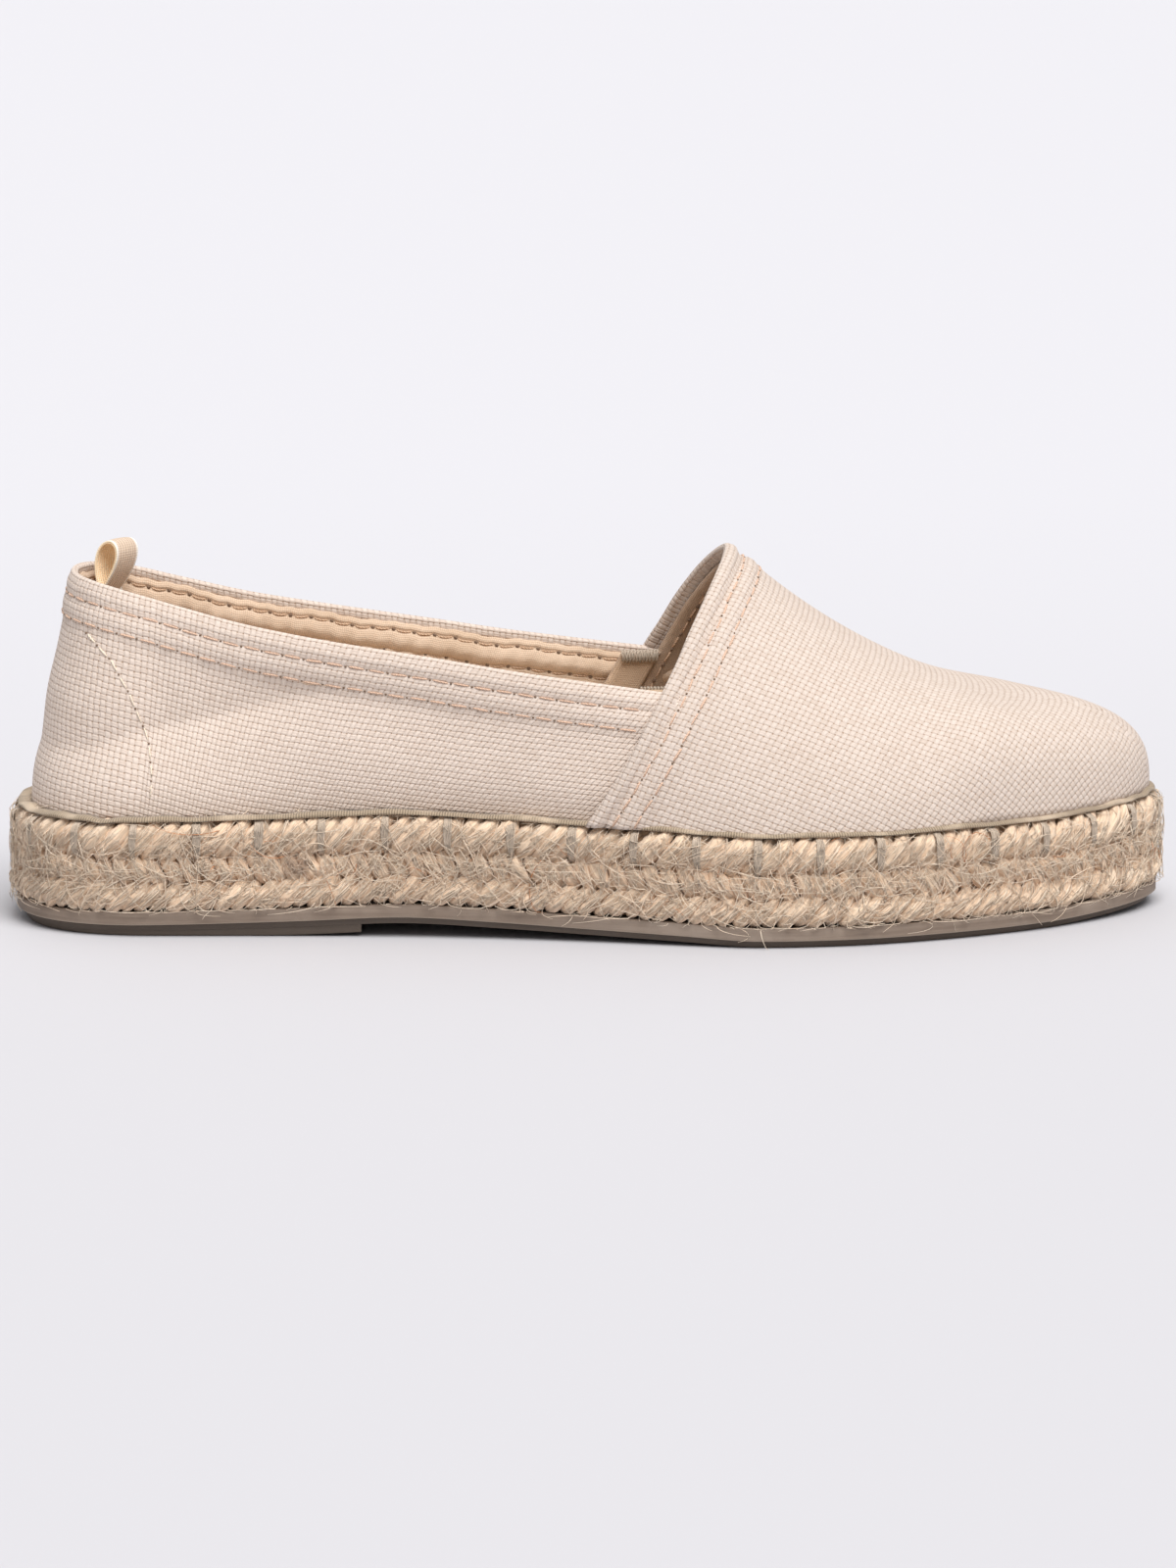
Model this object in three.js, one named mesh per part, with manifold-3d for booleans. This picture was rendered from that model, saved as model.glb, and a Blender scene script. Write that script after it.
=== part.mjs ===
// A flat slip-on espadrille, right shoe, in millimetres.
// +X runs from heel to toe, +Y to the inner (medial) side, +Z up. The origin is on the floor, under the
// middle of the shoe. A rubber outsole carries a thick sole of plaited jute; a canvas upper stands on its rim.
import * as THREE from "three";
import { mergeVertices } from "three/addons/utils/BufferGeometryUtils.js";
import Module from "manifold-3d";

const wasm = await Module();
wasm.setup();

// Driving dimensions
const LENGTH = 250; // sole, heel to toe
const HEEL_HALF = 32; // half the heel's width, and the length of its round end
const HEEL_FULLNESS = 2.3; // 2 is an ellipse, more is blunter
const BALL_LATERAL = 46; // outer edge at the ball, from the shoe's heel line
const BALL_MEDIAL = 43.5;
const TOE_TIP = 12; // the toe's tip lies this far towards the inner side
const TREAD = 1.6; // thickness of the outsole's lower, inset layer
const BAND = 2.9; // thickness of the outsole's upper, visible band
const JUTE = 18.9; // thickness of the plaited sole
const PLAIT_ROWS = 3; // strands seen in the plait's wall
const TAPE = 0.9; // woven tape on the plait's top rim
const CANVAS = 1.8; // wall of the upper, canvas and lining
const INSOLE = 3;
const GAP = 0.3; // left between pieces that touch
const FEATHER_INSET = 2.6; // the upper's lower edge, in from the sole's edge
const HEEL_POLE = 0.128; // where the ribs of the heel meet, as a share of the length
const TOE_POLE = 0.857; // where the ribs of the toe meet
const HEEL_LINE_ACROSS = 0.94; // from the origin to the shoe's heel line, so that its box is centred
const STATIONS = 36; // along each side
const LEVELS = 11; // from the upper's lower edge to its crown

// The sole's edges, as distances from the heel line, at shares of the length
const soleRows = [
  { at: 0.0, lateral: 32, medial: 31, lift: 0.8 },
  { at: 0.13, lateral: 32.2, medial: 31, lift: 1.1 },
  { at: 0.25, lateral: 32.5, medial: 30, lift: 2.0 },
  { at: 0.34, lateral: 33.4, medial: 28.8, lift: 3.0 },
  { at: 0.42, lateral: 35.4, medial: 28.4, lift: 2.3 },
  { at: 0.5, lateral: 38.6, medial: 30.8, lift: 1.4 },
  { at: 0.58, lateral: 43, medial: 36, lift: 0.7 },
  { at: 0.64, lateral: 45.6, medial: 40, lift: 0 },
  { at: 0.7, lateral: BALL_LATERAL, medial: 42.7, lift: 0 },
  { at: 0.76, lateral: 45.4, medial: BALL_MEDIAL, lift: 0 },
  { at: 0.9, lateral: 41, medial: BALL_MEDIAL, lift: 0 },
  { at: 1.0, lateral: 36, medial: BALL_MEDIAL, lift: 1.2 },
];
const toeRounding = {
  lateral: { from: 0.62, fullness: 1.9 },
  medial: { from: 0.74, fullness: 2.3 },
};

// The last: the crown line's height, how full the arch over it is, and the crown line's place across the shoe.
// Behind the throat the crown is only the form that the side walls lean towards.
const lastRows = [
  { at: 0.128, crown: 112, fullness: 1.32, middle: 0 },
  { at: 0.2, crown: 112, fullness: 1.5, middle: -0.4 },
  { at: 0.3, crown: 111, fullness: 1.86, middle: -1 },
  { at: 0.44, crown: 107, fullness: 2.0, middle: -2 },
  { at: 0.55, crown: 93, fullness: 1.62, middle: 0 },
  { at: 0.624, crown: 79.5, fullness: 1.62, middle: 1.5 },
  { at: 0.694, crown: 66.5, fullness: 1.8, middle: 2 },
  { at: 0.748, crown: 58.3, fullness: 1.95, middle: 3 },
  { at: 0.8, crown: 52.4, fullness: 2.2, middle: 4.5 },
  { at: 0.857, crown: 48.2, fullness: 3.3, middle: 7 },
  { at: 1, crown: 42.6, fullness: 3.3, middle: 7 },
];

// The opening's edge from the side: the topline, then the throat's edge up to the vamp's point
const toplineRows = [
  { fromHeel: -6, height: 75.8 },
  { fromHeel: 13, height: 75.6 },
  { fromHeel: 20, height: 74.6 },
  { fromHeel: 27, height: 73 },
  { fromHeel: 37, height: 70.4 },
  { fromHeel: 50, height: 67.2 },
  { fromHeel: 63, height: 64.8 },
  { fromHeel: 76, height: 62.8 },
  { fromHeel: 93, height: 60.4 },
  { fromHeel: 107, height: 58.3 },
  { fromHeel: 124, height: 56 },
  { fromHeel: 136, height: 54.4 },
];
const throatRows = [
  { fromHeel: 142, height: 56.5 },
  { fromHeel: 147.5, height: 66 },
  { fromHeel: 152.5, height: 73.8 },
  { fromHeel: 158, height: 81 },
  { fromHeel: 164, height: 90 },
];

const THROAT_SKEW = 0.07; // the opening's edge lies further back on the inner side, per mm across

const materials = {
  rubber: { color: 0x8d8073, roughness: 0.8 },
  jute: { color: 0xc4ab85, roughness: 0.95 },
  tape: { color: 0xb5a27c, roughness: 0.95 },
  canvas: { color: 0xe4d6c8, roughness: 0.95 },
  sock: { color: 0xcdb798, roughness: 0.95 },
};

function material(name) {
  return new THREE.MeshStandardMaterial({ ...materials[name], metalness: 0 });
}

// A smooth value from a table's column, with a Catmull-Rom slope at each row
function along(rows, column, at) {
  const last = rows.length - 1;
  if (at <= rows[0].at) return rows[0][column];
  if (at >= rows[last].at) return rows[last][column];
  let i = 0;
  while (at > rows[i + 1].at) i += 1;
  const slope = (j) => {
    const a = rows[Math.max(j - 1, 0)];
    const b = rows[Math.min(j + 1, last)];
    return (b[column] - a[column]) / (b.at - a.at);
  };
  const span = rows[i + 1].at - rows[i].at;
  const t = (at - rows[i].at) / span;
  const bow = t * t * (3 - 2 * t);
  const start = t * (1 - t) * (1 - t) * span * slope(i);
  const end = t * t * (t - 1) * span * slope(i + 1);
  return rows[i][column] * (1 - bow) + rows[i + 1][column] * bow + start + end;
}

// A quarter of a superellipse: 1 at 0, 0 at 1
function quarterRound(share, fullness) {
  return Math.pow(Math.max(1 - Math.pow(share, fullness), 0), 1 / fullness);
}

// The sole's edge across the shoe, at a share of the length
function edgeAcross(side, at) {
  const sign = side === "lateral" ? -1 : 1;
  const toe = toeRounding[side];
  if (at > toe.from) {
    const full = along(soleRows, side, at);
    const reach = sign * full - TOE_TIP;
    return TOE_TIP + reach * quarterRound((at - toe.from) / (1 - toe.from), toe.fullness);
  }
  const heel = HEEL_HALF / LENGTH;
  const round = at < heel ? quarterRound(1 - at / heel, HEEL_FULLNESS) : 1;
  return sign * along(soleRows, side, at) * round;
}

// The ring's places: heel tip, along the outer side to the toe tip, and back along the inner side
function ringPlaces() {
  const places = [];
  for (let k = 0; k < 2 * STATIONS; k += 1) {
    const step = k <= STATIONS ? k : 2 * STATIONS - k;
    const at = (1 - Math.cos((Math.PI * step) / STATIONS)) / 2;
    places.push({ at, side: k <= STATIONS ? "lateral" : "medial" });
  }
  return places;
}
const places = ringPlaces();

function soleEdge() {
  return places.map(({ at, side }) => new THREE.Vector2((at - 0.5) * LENGTH, edgeAcross(side, at)));
}

// A closed ring moved inwards, square to its own line
function movedIn(ring, distance) {
  return ring.map((point, i) => {
    const before = ring[(i + ring.length - 1) % ring.length];
    const after = ring[(i + 1) % ring.length];
    const run = after.clone().sub(before).normalize();
    return new THREE.Vector2(point.x - run.y * distance, point.y + run.x * distance);
  });
}

// One closed surface through rings of points, from the lowest to the highest, with both ends closed
function solidFromRings(rings) {
  const count = rings[0].length;
  const half = count / 2;
  const index = [];
  for (let j = 0; j + 1 < rings.length; j += 1) {
    for (let i = 0; i < count; i += 1) {
      const next = (i + 1) % count;
      const low = j * count;
      const high = low + count;
      index.push(low + i, low + next, high + next, low + i, high + next, high + i);
    }
  }
  const top = (rings.length - 1) * count;
  for (let k = 0; k < half; k += 1) {
    const far = (count - k) % count;
    const farNext = count - k - 1;
    index.push(top + k, top + k + 1, top + farNext, top + k, top + farNext, top + far);
    index.push(far, farNext, k + 1, far, k + 1, k);
  }
  const geometry = new THREE.BufferGeometry();
  const flat = rings.flat().flatMap((p) => [p.x, p.y, p.z]);
  geometry.setAttribute("position", new THREE.Float32BufferAttribute(flat, 3));
  geometry.setIndex(index);
  return withoutFlatFaces(mergeVertices(geometry, 1e-4));
}

// Faces whose corners were merged into one another are dropped
function withoutFlatFaces(geometry) {
  const kept = [];
  const index = geometry.index.array;
  for (let i = 0; i < index.length; i += 3) {
    const [a, b, c] = [index[i], index[i + 1], index[i + 2]];
    if (a !== b && b !== c && c !== a) kept.push(a, b, c);
  }
  geometry.setIndex(kept);
  return geometry;
}

function toSolid(geometry) {
  const bare = geometry.clone();
  bare.deleteAttribute("normal");
  bare.deleteAttribute("uv");
  const merged = withoutFlatFaces(mergeVertices(bare, 1e-4));
  const vertProperties = new Float32Array(merged.attributes.position.array);
  const triVerts = new Uint32Array(merged.index.array);
  return new wasm.Manifold(new wasm.Mesh({ numProp: 3, vertProperties, triVerts }));
}

function fromSolid(solid) {
  const mesh = solid.getMesh();
  const geometry = new THREE.BufferGeometry();
  geometry.setAttribute("position", new THREE.Float32BufferAttribute(mesh.vertProperties, 3));
  geometry.setIndex(Array.from(mesh.triVerts));
  return geometry;
}

function piece(name, finish, geometry) {
  const mesh = new THREE.Mesh(geometry, material(finish));
  mesh.name = name;
  return mesh;
}

// Heights above the floor, at a share of the length
const underTread = (at) => Math.max(along(soleRows, "lift", at), 0);
const bandTop = (at) => underTread(at) + TREAD + BAND;
const juteTop = (at) => bandTop(at) + GAP + JUTE;

function level(ring, height) {
  return ring.map((p, i) => new THREE.Vector3(p.x, p.y, height(places[i].at)));
}

// Outsole: an inset tread layer, a band that stands out over it, and a heel pad under the heel
const TREAD_INSET = 2.6;
const BAND_INSET = 0.9;
const PAD = { end: 0.305, inset: 3.0, rise: 0.9, flatTo: 0.2 };

function padUnder(at) {
  const t = Math.min(Math.max((at - PAD.flatTo) / (PAD.end - PAD.flatTo), 0), 1);
  return PAD.rise * t * t;
}

function outsole() {
  const edge = soleEdge();
  const treadRing = movedIn(edge, TREAD_INSET);
  const bandRing = movedIn(edge, BAND_INSET);
  const line = (at) => underTread(at) + TREAD;
  const body = solidFromRings([
    level(treadRing, underTread),
    level(treadRing, line),
    level(bandRing, line),
    level(bandRing, bandTop),
  ]);
  const padRing = movedIn(edge, PAD.inset);
  const pad = solidFromRings([
    level(padRing, padUnder),
    level(padRing, (at) => underTread(at) + TREAD / 2),
  ]);
  const padEnd = (PAD.end - 0.5) * LENGTH;
  const keep = new THREE.BoxGeometry(LENGTH, LENGTH, 40);
  keep.translate(padEnd - LENGTH / 2, 0, 0);
  return fromSolid(toSolid(body).add(toSolid(pad).intersect(toSolid(keep))));
}

// Jute sole: the wall bulges once for each row of strands in the plait
const WALL_STEPS = 4; // for each row of strands
const STRAND_DEPTH = 1.1;
const RIM_INSET = 0.9;

function juteSole() {
  const edge = soleEdge();
  const rings = [];
  const steps = PLAIT_ROWS * WALL_STEPS;
  for (let j = 0; j <= steps; j += 1) {
    const share = j / steps;
    const bulge = Math.abs(Math.sin(Math.PI * share * PLAIT_ROWS));
    const rim = Math.pow(Math.abs(2 * share - 1), 4);
    const ring = movedIn(edge, 0.2 + STRAND_DEPTH * (1 - bulge) + RIM_INSET * rim);
    rings.push(level(ring, (at) => bandTop(at) + GAP + JUTE * share));
  }
  return solidFromRings(rings);
}

// The last's form. shrink makes it smaller all round, for the inside of the wall.
function formPoint(place, base, share, shrink) {
  const spineAt = Math.min(Math.max(place.at, HEEL_POLE), TOE_POLE);
  const fullness = along(lastRows, "fullness", spineAt);
  const low = juteTop(place.at) + GAP;
  const middle = new THREE.Vector2((spineAt - 0.5) * LENGTH, along(lastRows, "middle", spineAt));
  const angle = (share * Math.PI) / 2;
  const out = share === 1 ? 0 : Math.pow(Math.cos(angle), 2 / fullness);
  const up = Math.pow(Math.sin(angle), 2 / fullness);
  const across = middle.clone().lerp(base, out);
  const crown = along(lastRows, "crown", across.x / LENGTH + 0.5) - shrink;
  return new THREE.Vector3(across.x, across.y, low + (crown - low) * up);
}

function lastForm(shrink, below) {
  const base = movedIn(soleEdge(), FEATHER_INSET + shrink);
  const rings = [];
  if (below > 0) {
    rings.push(base.map((p, i) => new THREE.Vector3(p.x, p.y, juteTop(places[i].at) + GAP - below)));
  }
  for (let j = 0; j <= LEVELS; j += 1) {
    rings.push(base.map((p, i) => formPoint(places[i], p, j / LEVELS, shrink)));
  }
  return solidFromRings(rings);
}

// What is cut away above the topline and behind the throat, as an outline seen from the side
function collarCutter() {
  const spot = (row) => new THREE.Vector2(row.fromHeel - LENGTH / 2, row.height);
  const topline = new THREE.SplineCurve(toplineRows.map(spot)).getPoints(40);
  const throat = new THREE.SplineCurve(throatRows.map(spot)).getPoints(14);
  const corner = new THREE.QuadraticBezierCurve(
    topline.at(-1),
    new THREE.Vector2(140.4 - LENGTH / 2, 53.8),
    throat[0],
  ).getPoints(4);
  const above = 130;
  const shape = new THREE.Shape([
    ...topline,
    ...corner.slice(1, -1),
    ...throat,
    new THREE.Vector2(throat.at(-1).x, above),
    new THREE.Vector2(topline[0].x, above),
  ]);
  const width = 140;
  const cutter = new THREE.ExtrudeGeometry(shape, { depth: width, bevelEnabled: false });
  cutter.rotateX(Math.PI / 2);
  cutter.translate(0, width / 2, 0);
  const skew = new THREE.Matrix4().makeShear(0, 0, -THROAT_SKEW, 0, 0, 0);
  return cutter.applyMatrix4(skew.setPosition(-THROAT_SKEW * BALL_LATERAL / 2, 0, 0));
}

function upper() {
  const shell = toSolid(lastForm(0, 0)).subtract(toSolid(lastForm(CANVAS, 3)));
  return fromSolid(shell.subtract(toSolid(collarCutter())));
}

// Edge tape: a thin ring on the jute's rim, round the outside of the upper
function edgeTape() {
  const edge = soleEdge();
  const outside = movedIn(edge, RIM_INSET + STRAND_DEPTH * 0.4);
  const inside = movedIn(edge, FEATHER_INSET - GAP);
  const low = (at) => juteTop(at) + GAP;
  const high = (at) => juteTop(at) + GAP + TAPE;
  const solid = toSolid(solidFromRings([level(outside, low), level(outside, high)]));
  const hole = solidFromRings([
    level(inside, (at) => low(at) - 1),
    level(inside, (at) => high(at) + 1),
  ]);
  return fromSolid(solid.subtract(toSolid(hole)));
}

function insole() {
  const ring = movedIn(soleEdge(), FEATHER_INSET + CANVAS + 1);
  const topRing = movedIn(soleEdge(), FEATHER_INSET + CANVAS + 1.6);
  return solidFromRings([
    level(ring, (at) => juteTop(at) + GAP),
    level(ring, (at) => juteTop(at) + GAP + INSOLE * 0.6),
    level(topRing, (at) => juteTop(at) + GAP + INSOLE),
  ]);
}

// Pull loop: a folded tape whose two ends are sewn together inside the heel
const LOOP = { width: 6.4, tape: 1, tab: 11, half: 3.1, rise: 11.5, fromHeel: 21.2, across: 8.8, foot: 70.2 };
const LOOP_TURN = THREE.MathUtils.degToRad(-38); // the loop faces this way in plan
const LOOP_LEAN = THREE.MathUtils.degToRad(11); // it leans forward with the heel's wall

function pullLoop() {
  const curve = (half, low, high) => {
    const path = new THREE.CurvePath();
    const v = (x, y) => new THREE.Vector2(x, y);
    const waist = low + (high - low) * 0.62;
    path.add(new THREE.CubicBezierCurve(v(0, low), v(half * 0.35, low + 2), v(half, waist - 3), v(half, waist)));
    path.add(
      new THREE.CubicBezierCurve(v(half, waist), v(half, high), v(-half, high), v(-half, waist)),
    );
    path.add(new THREE.CubicBezierCurve(v(-half, waist), v(-half, waist - 3), v(-half * 0.35, low + 2), v(0, low)));
    return path.getPoints(7).slice(0, -1);
  };
  const outer = curve(LOOP.half + LOOP.tape, -0.6, LOOP.rise + LOOP.tape * 0.7);
  const hole = curve(LOOP.half, 0.8, LOOP.rise - LOOP.tape * 0.7);
  const shape = new THREE.Shape([
    new THREE.Vector2(-LOOP.tape, -LOOP.tab),
    new THREE.Vector2(LOOP.tape, -LOOP.tab),
    new THREE.Vector2(LOOP.tape, 0.9),
    ...outer.filter((p) => p.y > 1.2),
    new THREE.Vector2(-LOOP.tape, 0.9),
  ]);
  shape.holes.push(new THREE.Path(hole));
  const geometry = new THREE.ExtrudeGeometry(shape, { depth: LOOP.width, bevelEnabled: false });
  geometry.translate(0, 0, -LOOP.width / 2);
  geometry.rotateX(Math.PI / 2);
  geometry.rotateY(LOOP_LEAN);
  geometry.rotateZ(LOOP_TURN);
  geometry.translate(LOOP.fromHeel - LENGTH / 2, LOOP.across, LOOP.foot);
  return geometry;
}

const espadrille = new THREE.Group();
espadrille.name = "espadrille";
espadrille.position.y = HEEL_LINE_ACROSS;
espadrille.add(
  piece("outsole", "rubber", outsole()),
  piece("jute_sole", "jute", juteSole()),
  piece("edge_tape", "tape", edgeTape()),
  piece("insole", "sock", insole()),
  piece("upper", "canvas", upper()),
  piece("pull_loop", "tape", pullLoop()),
);

export default espadrille;
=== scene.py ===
"""A right espadrille: a canvas slip-on on a thick sole of plaited jute, with a thin rubber outsole.
Sizes are in millimetres unless a name says otherwise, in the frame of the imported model:
+X from heel to toe, +Y to the inner side, +Z up, the origin on the floor under the shoe's middle."""
import math
import random

import bpy
import numpy as np
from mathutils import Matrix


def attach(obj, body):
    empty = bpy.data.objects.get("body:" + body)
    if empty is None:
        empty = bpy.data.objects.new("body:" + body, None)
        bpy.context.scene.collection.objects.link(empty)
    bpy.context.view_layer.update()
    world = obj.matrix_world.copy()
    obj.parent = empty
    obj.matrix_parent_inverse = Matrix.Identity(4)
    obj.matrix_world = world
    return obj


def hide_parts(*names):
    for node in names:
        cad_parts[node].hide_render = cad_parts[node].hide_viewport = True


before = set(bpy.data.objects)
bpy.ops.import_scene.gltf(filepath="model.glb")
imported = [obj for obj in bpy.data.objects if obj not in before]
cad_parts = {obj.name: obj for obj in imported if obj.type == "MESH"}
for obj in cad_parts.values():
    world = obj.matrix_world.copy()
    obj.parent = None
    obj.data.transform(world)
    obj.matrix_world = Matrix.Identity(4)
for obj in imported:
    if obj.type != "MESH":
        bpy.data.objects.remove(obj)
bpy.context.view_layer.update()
MM = 0.001
scene = bpy.context.scene


# --- Studio ---------------------------------------------------------------------------------
# A pale floor that runs into a pale background, a wide soft light overhead and a weaker one in
# front. The camera looks from the outer side, ten degrees above the floor, through a long lens.
VIEW_HEIGHT = 340.4  # what the frame shows from top to bottom, at the shoe
VIEW_DISTANCE = 2400
VIEW_ELEVATION = math.radians(10)
AIM_HEIGHT = 28.2
BACKGROUND = (0.94, 0.935, 0.965)
FLOOR_NEAR = (0.552, 0.543, 0.562)
FLOOR_FAR = (0.605, 0.598, 0.622)


def add_camera():
    data = bpy.data.cameras.new("camera")
    data.sensor_fit = "VERTICAL"
    data.lens = data.sensor_height * VIEW_DISTANCE / VIEW_HEIGHT
    data.clip_end = 20
    camera = bpy.data.objects.new("camera", data)
    scene.collection.objects.link(camera)
    back = VIEW_DISTANCE * math.cos(VIEW_ELEVATION)
    rise = VIEW_DISTANCE * math.sin(VIEW_ELEVATION)
    camera.location = (0, -back * MM, (AIM_HEIGHT + rise) * MM)
    camera.rotation_euler = (math.pi / 2 - VIEW_ELEVATION, 0, 0)
    scene.camera = camera


def add_soft_sun(name, towards, width, strength, colour=(1, 1, 1)):
    """A very wide sun, which lights the whole floor alike; towards points from the shoe to it."""
    data = bpy.data.lights.new(name, "SUN")
    data.angle = math.radians(width)
    data.energy = strength
    data.color = colour
    lamp = bpy.data.objects.new(name, data)
    scene.collection.objects.link(lamp)
    lamp.location = towards
    lamp.rotation_euler = lamp.location.to_track_quat("Z", "Y").to_euler()


class Tree:
    """A node tree as it is put together. An input is linked to a socket or set to a value."""

    def __init__(self, tree):
        self.nodes, self.links = tree.nodes, tree.links

    def link(self, socket, to):
        self.links.new(socket, to)

    def new(self, kind, operation=None, **inputs):
        """A node; i0=... feeds input number 0, and Scale=... the input of that name."""
        node = self.nodes.new("ShaderNode" + kind)
        if operation:
            node.operation = operation
        for key, value in inputs.items():
            socket = node.inputs[int(key[1:]) if key[1:].isdigit() else key.replace("_", " ")]
            if isinstance(value, bpy.types.NodeSocket):
                self.link(value, socket)
            else:
                socket.default_value = value
        return node

    def uv(self):
        return self.new("UVMap").outputs[0]

    def place(self):
        return self.new("TexCoord").outputs["Object"]

    def maths(self, operation, first, second=0.0, third=0.0):
        return self.new("Math", operation, i0=first, i1=second, i2=third).outputs[0]

    def times(self, first, second):
        return self.maths("MULTIPLY", first, second)

    def noise(self, vector, scale, detail=3.0, roughness=0.55, distortion=0.0):
        settings = {"Scale": scale, "Detail": detail, "Roughness": roughness, "Distortion": distortion}
        return self.new("TexNoise", Vector=vector, **settings).outputs["Fac"]

    def scaled(self, vector, scale):
        return self.new("Mapping", Vector=vector, Scale=scale).outputs[0]

    def mixed(self, factor, first, second):
        node = self.nodes.new("ShaderNodeMix")
        node.data_type = "RGBA"
        for number, value in ((0, factor), (6, first), (7, second)):
            if isinstance(value, bpy.types.NodeSocket):
                self.link(value, node.inputs[number])
            else:
                node.inputs[number].default_value = value if number == 0 else (*value, 1)
        return node.outputs[2]

    def ramp(self, factor, low, high):
        """0 below low, 1 above high, smooth between."""
        node = self.new("MapRange", Value=factor, From_Min=low, From_Max=high)
        node.interpolation_type = "SMOOTHSTEP"
        return node.outputs[0]

    def bumped(self, shader, height, distance, strength=1.0):
        node = self.new("Bump", Height=height, Distance=distance * MM, Strength=strength)
        self.link(node.outputs[0], shader.inputs["Normal"])


def new_material(name, roughness=0.9, specular=0.2, sheen=0.0):
    """(material, its tree, its shader)"""
    material = bpy.data.materials.new(name)
    material.use_nodes = True
    shader = material.node_tree.nodes["Principled BSDF"]
    shader.inputs["Roughness"].default_value = roughness
    shader.inputs["Specular IOR Level"].default_value = specular
    shader.inputs["Sheen Weight"].default_value = sheen
    return material, Tree(material.node_tree), shader


def add_studio():
    bpy.ops.object.select_all(action="DESELECT")
    bpy.ops.mesh.primitive_plane_add(size=12)
    floor = bpy.context.object
    floor.name = "floor"
    paint, tree, shader = new_material("floor paint", roughness=0.7)
    # Painted shade: the floor is painted a little darker near the camera and lighter away from it, as the
    # light falls off.
    place = tree.new("SeparateXYZ", i0=tree.place())
    away = tree.ramp(place.outputs["Y"], -0.2, 0.7)
    tree.link(tree.mixed(away, FLOOR_NEAR, FLOOR_FAR), shader.inputs["Base Color"])
    floor.data.materials.append(paint)
    world = scene.world or bpy.data.worlds.new("world")
    scene.world = world
    world.use_nodes = True
    world.node_tree.nodes["Background"].inputs["Color"].default_value = (*BACKGROUND, 1)
    world.node_tree.nodes["Background"].inputs["Strength"].default_value = 0.42
    add_soft_sun("overhead", (0.22, -0.58, 1.0), 42, 3.6)
    add_soft_sun("from behind", (-0.3, 0.8, 1.0), 70, 0.6)
    scene.view_settings.view_transform = "Standard"


add_camera()
add_studio()


# --- Outsole --------------------------------------------------------------------------------
# One moulding of grey-brown rubber: a band that shows under the jute, an inset tread layer below
# it and a heel pad. Its outline, arch and toe spring are the shoe's own, as in the solid.
LENGTH = 250
HEEL_HALF = 32
HEEL_FULLNESS = 2.3
TOE_TIP = 12
HEEL_LINE = 0.94  # from the origin across to the heel line
TREAD = 1.6
BAND = 2.9
JUTE = 18.9
GAP = 0.3
TOE_ROUNDING = {"lateral": (0.62, 1.9), "medial": (0.74, 2.3)}
SOLE_ROWS = {
    "at": [0.0, 0.13, 0.25, 0.34, 0.42, 0.5, 0.58, 0.64, 0.7, 0.76, 0.9, 1.0],
    "lateral": [32, 32.2, 32.5, 33.4, 35.4, 38.6, 43, 45.6, 46, 45.4, 41, 36],
    "medial": [31, 31, 30, 28.8, 28.4, 30.8, 36, 40, 42.7, 43.5, 43.5, 43.5],
    "lift": [0.8, 1.1, 2.0, 3.0, 2.3, 1.4, 0.7, 0, 0, 0, 0, 1.2],
}
# The outsole's face, from under the tread to the top of the band
OUTSOLE_PROFILE = {
    "inset": [3.2, 2.8, 2.6, 2.55, 2.1, 1.15, 0.9, 0.86, 1.05, 1.6],
    "rise": [0.0, 0.12, 0.45, 1.45, 1.6, 1.62, 1.85, 4.1, 4.4, 4.5],
}
LIP_UP_THE_WALL = 3.25  # the band's lower edge, painted pale as a highlight, by distance up the wall
PAD_END = 0.305
PAD_FLAT_TO = 0.2
PAD_RISE = 0.9
STATIONS = 110  # along each side of a ring


def along(table, name, at):
    """A smooth value from a table's list, with a Catmull-Rom slope at each place."""
    at = np.asarray(at, float)
    a = np.array(table["at"], float)
    v = np.array(table[name], float)
    slope = np.empty_like(v)
    slope[1:-1] = (v[2:] - v[:-2]) / (a[2:] - a[:-2])
    slope[0] = (v[1] - v[0]) / (a[1] - a[0])
    slope[-1] = (v[-1] - v[-2]) / (a[-1] - a[-2])
    i = np.clip(np.searchsorted(a, at, "right") - 1, 0, len(a) - 2)
    span = a[i + 1] - a[i]
    t = np.clip((at - a[i]) / span, 0, 1)
    bow = t * t * (3 - 2 * t)
    start = t * (1 - t) ** 2 * span * slope[i]
    end = t * t * (t - 1) * span * slope[i + 1]
    return v[i] * (1 - bow) + v[i + 1] * bow + start + end


def quarter_round(share, fullness):
    """A quarter of a superellipse: 1 at 0, 0 at 1."""
    share = np.clip(share, 0, 1)
    return np.maximum(1 - share**fullness, 0) ** (1 / fullness)


def edge_across(side, at):
    """The sole's edge across the shoe, from the heel line."""
    sign = -1 if side == "lateral" else 1
    full = sign * along(SOLE_ROWS, side, at)
    start, fullness = TOE_ROUNDING[side]
    toe = TOE_TIP + (full - TOE_TIP) * quarter_round((at - start) / (1 - start), fullness)
    heel = full * quarter_round(1 - at / (HEEL_HALF / LENGTH), HEEL_FULLNESS)
    return np.where(at > start, toe, heel)


def sole_edge(turn):
    """(x, y, share of the length) of the sole's edge. turn is 0 at the heel, pi at the toe and
    runs along the outer side first."""
    turn = np.mod(turn, 2 * math.pi)
    at = (1 - np.cos(turn)) / 2
    y = np.where(turn <= math.pi, edge_across("lateral", at), edge_across("medial", at))
    return (at - 0.5) * LENGTH, y + HEEL_LINE, at


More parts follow.
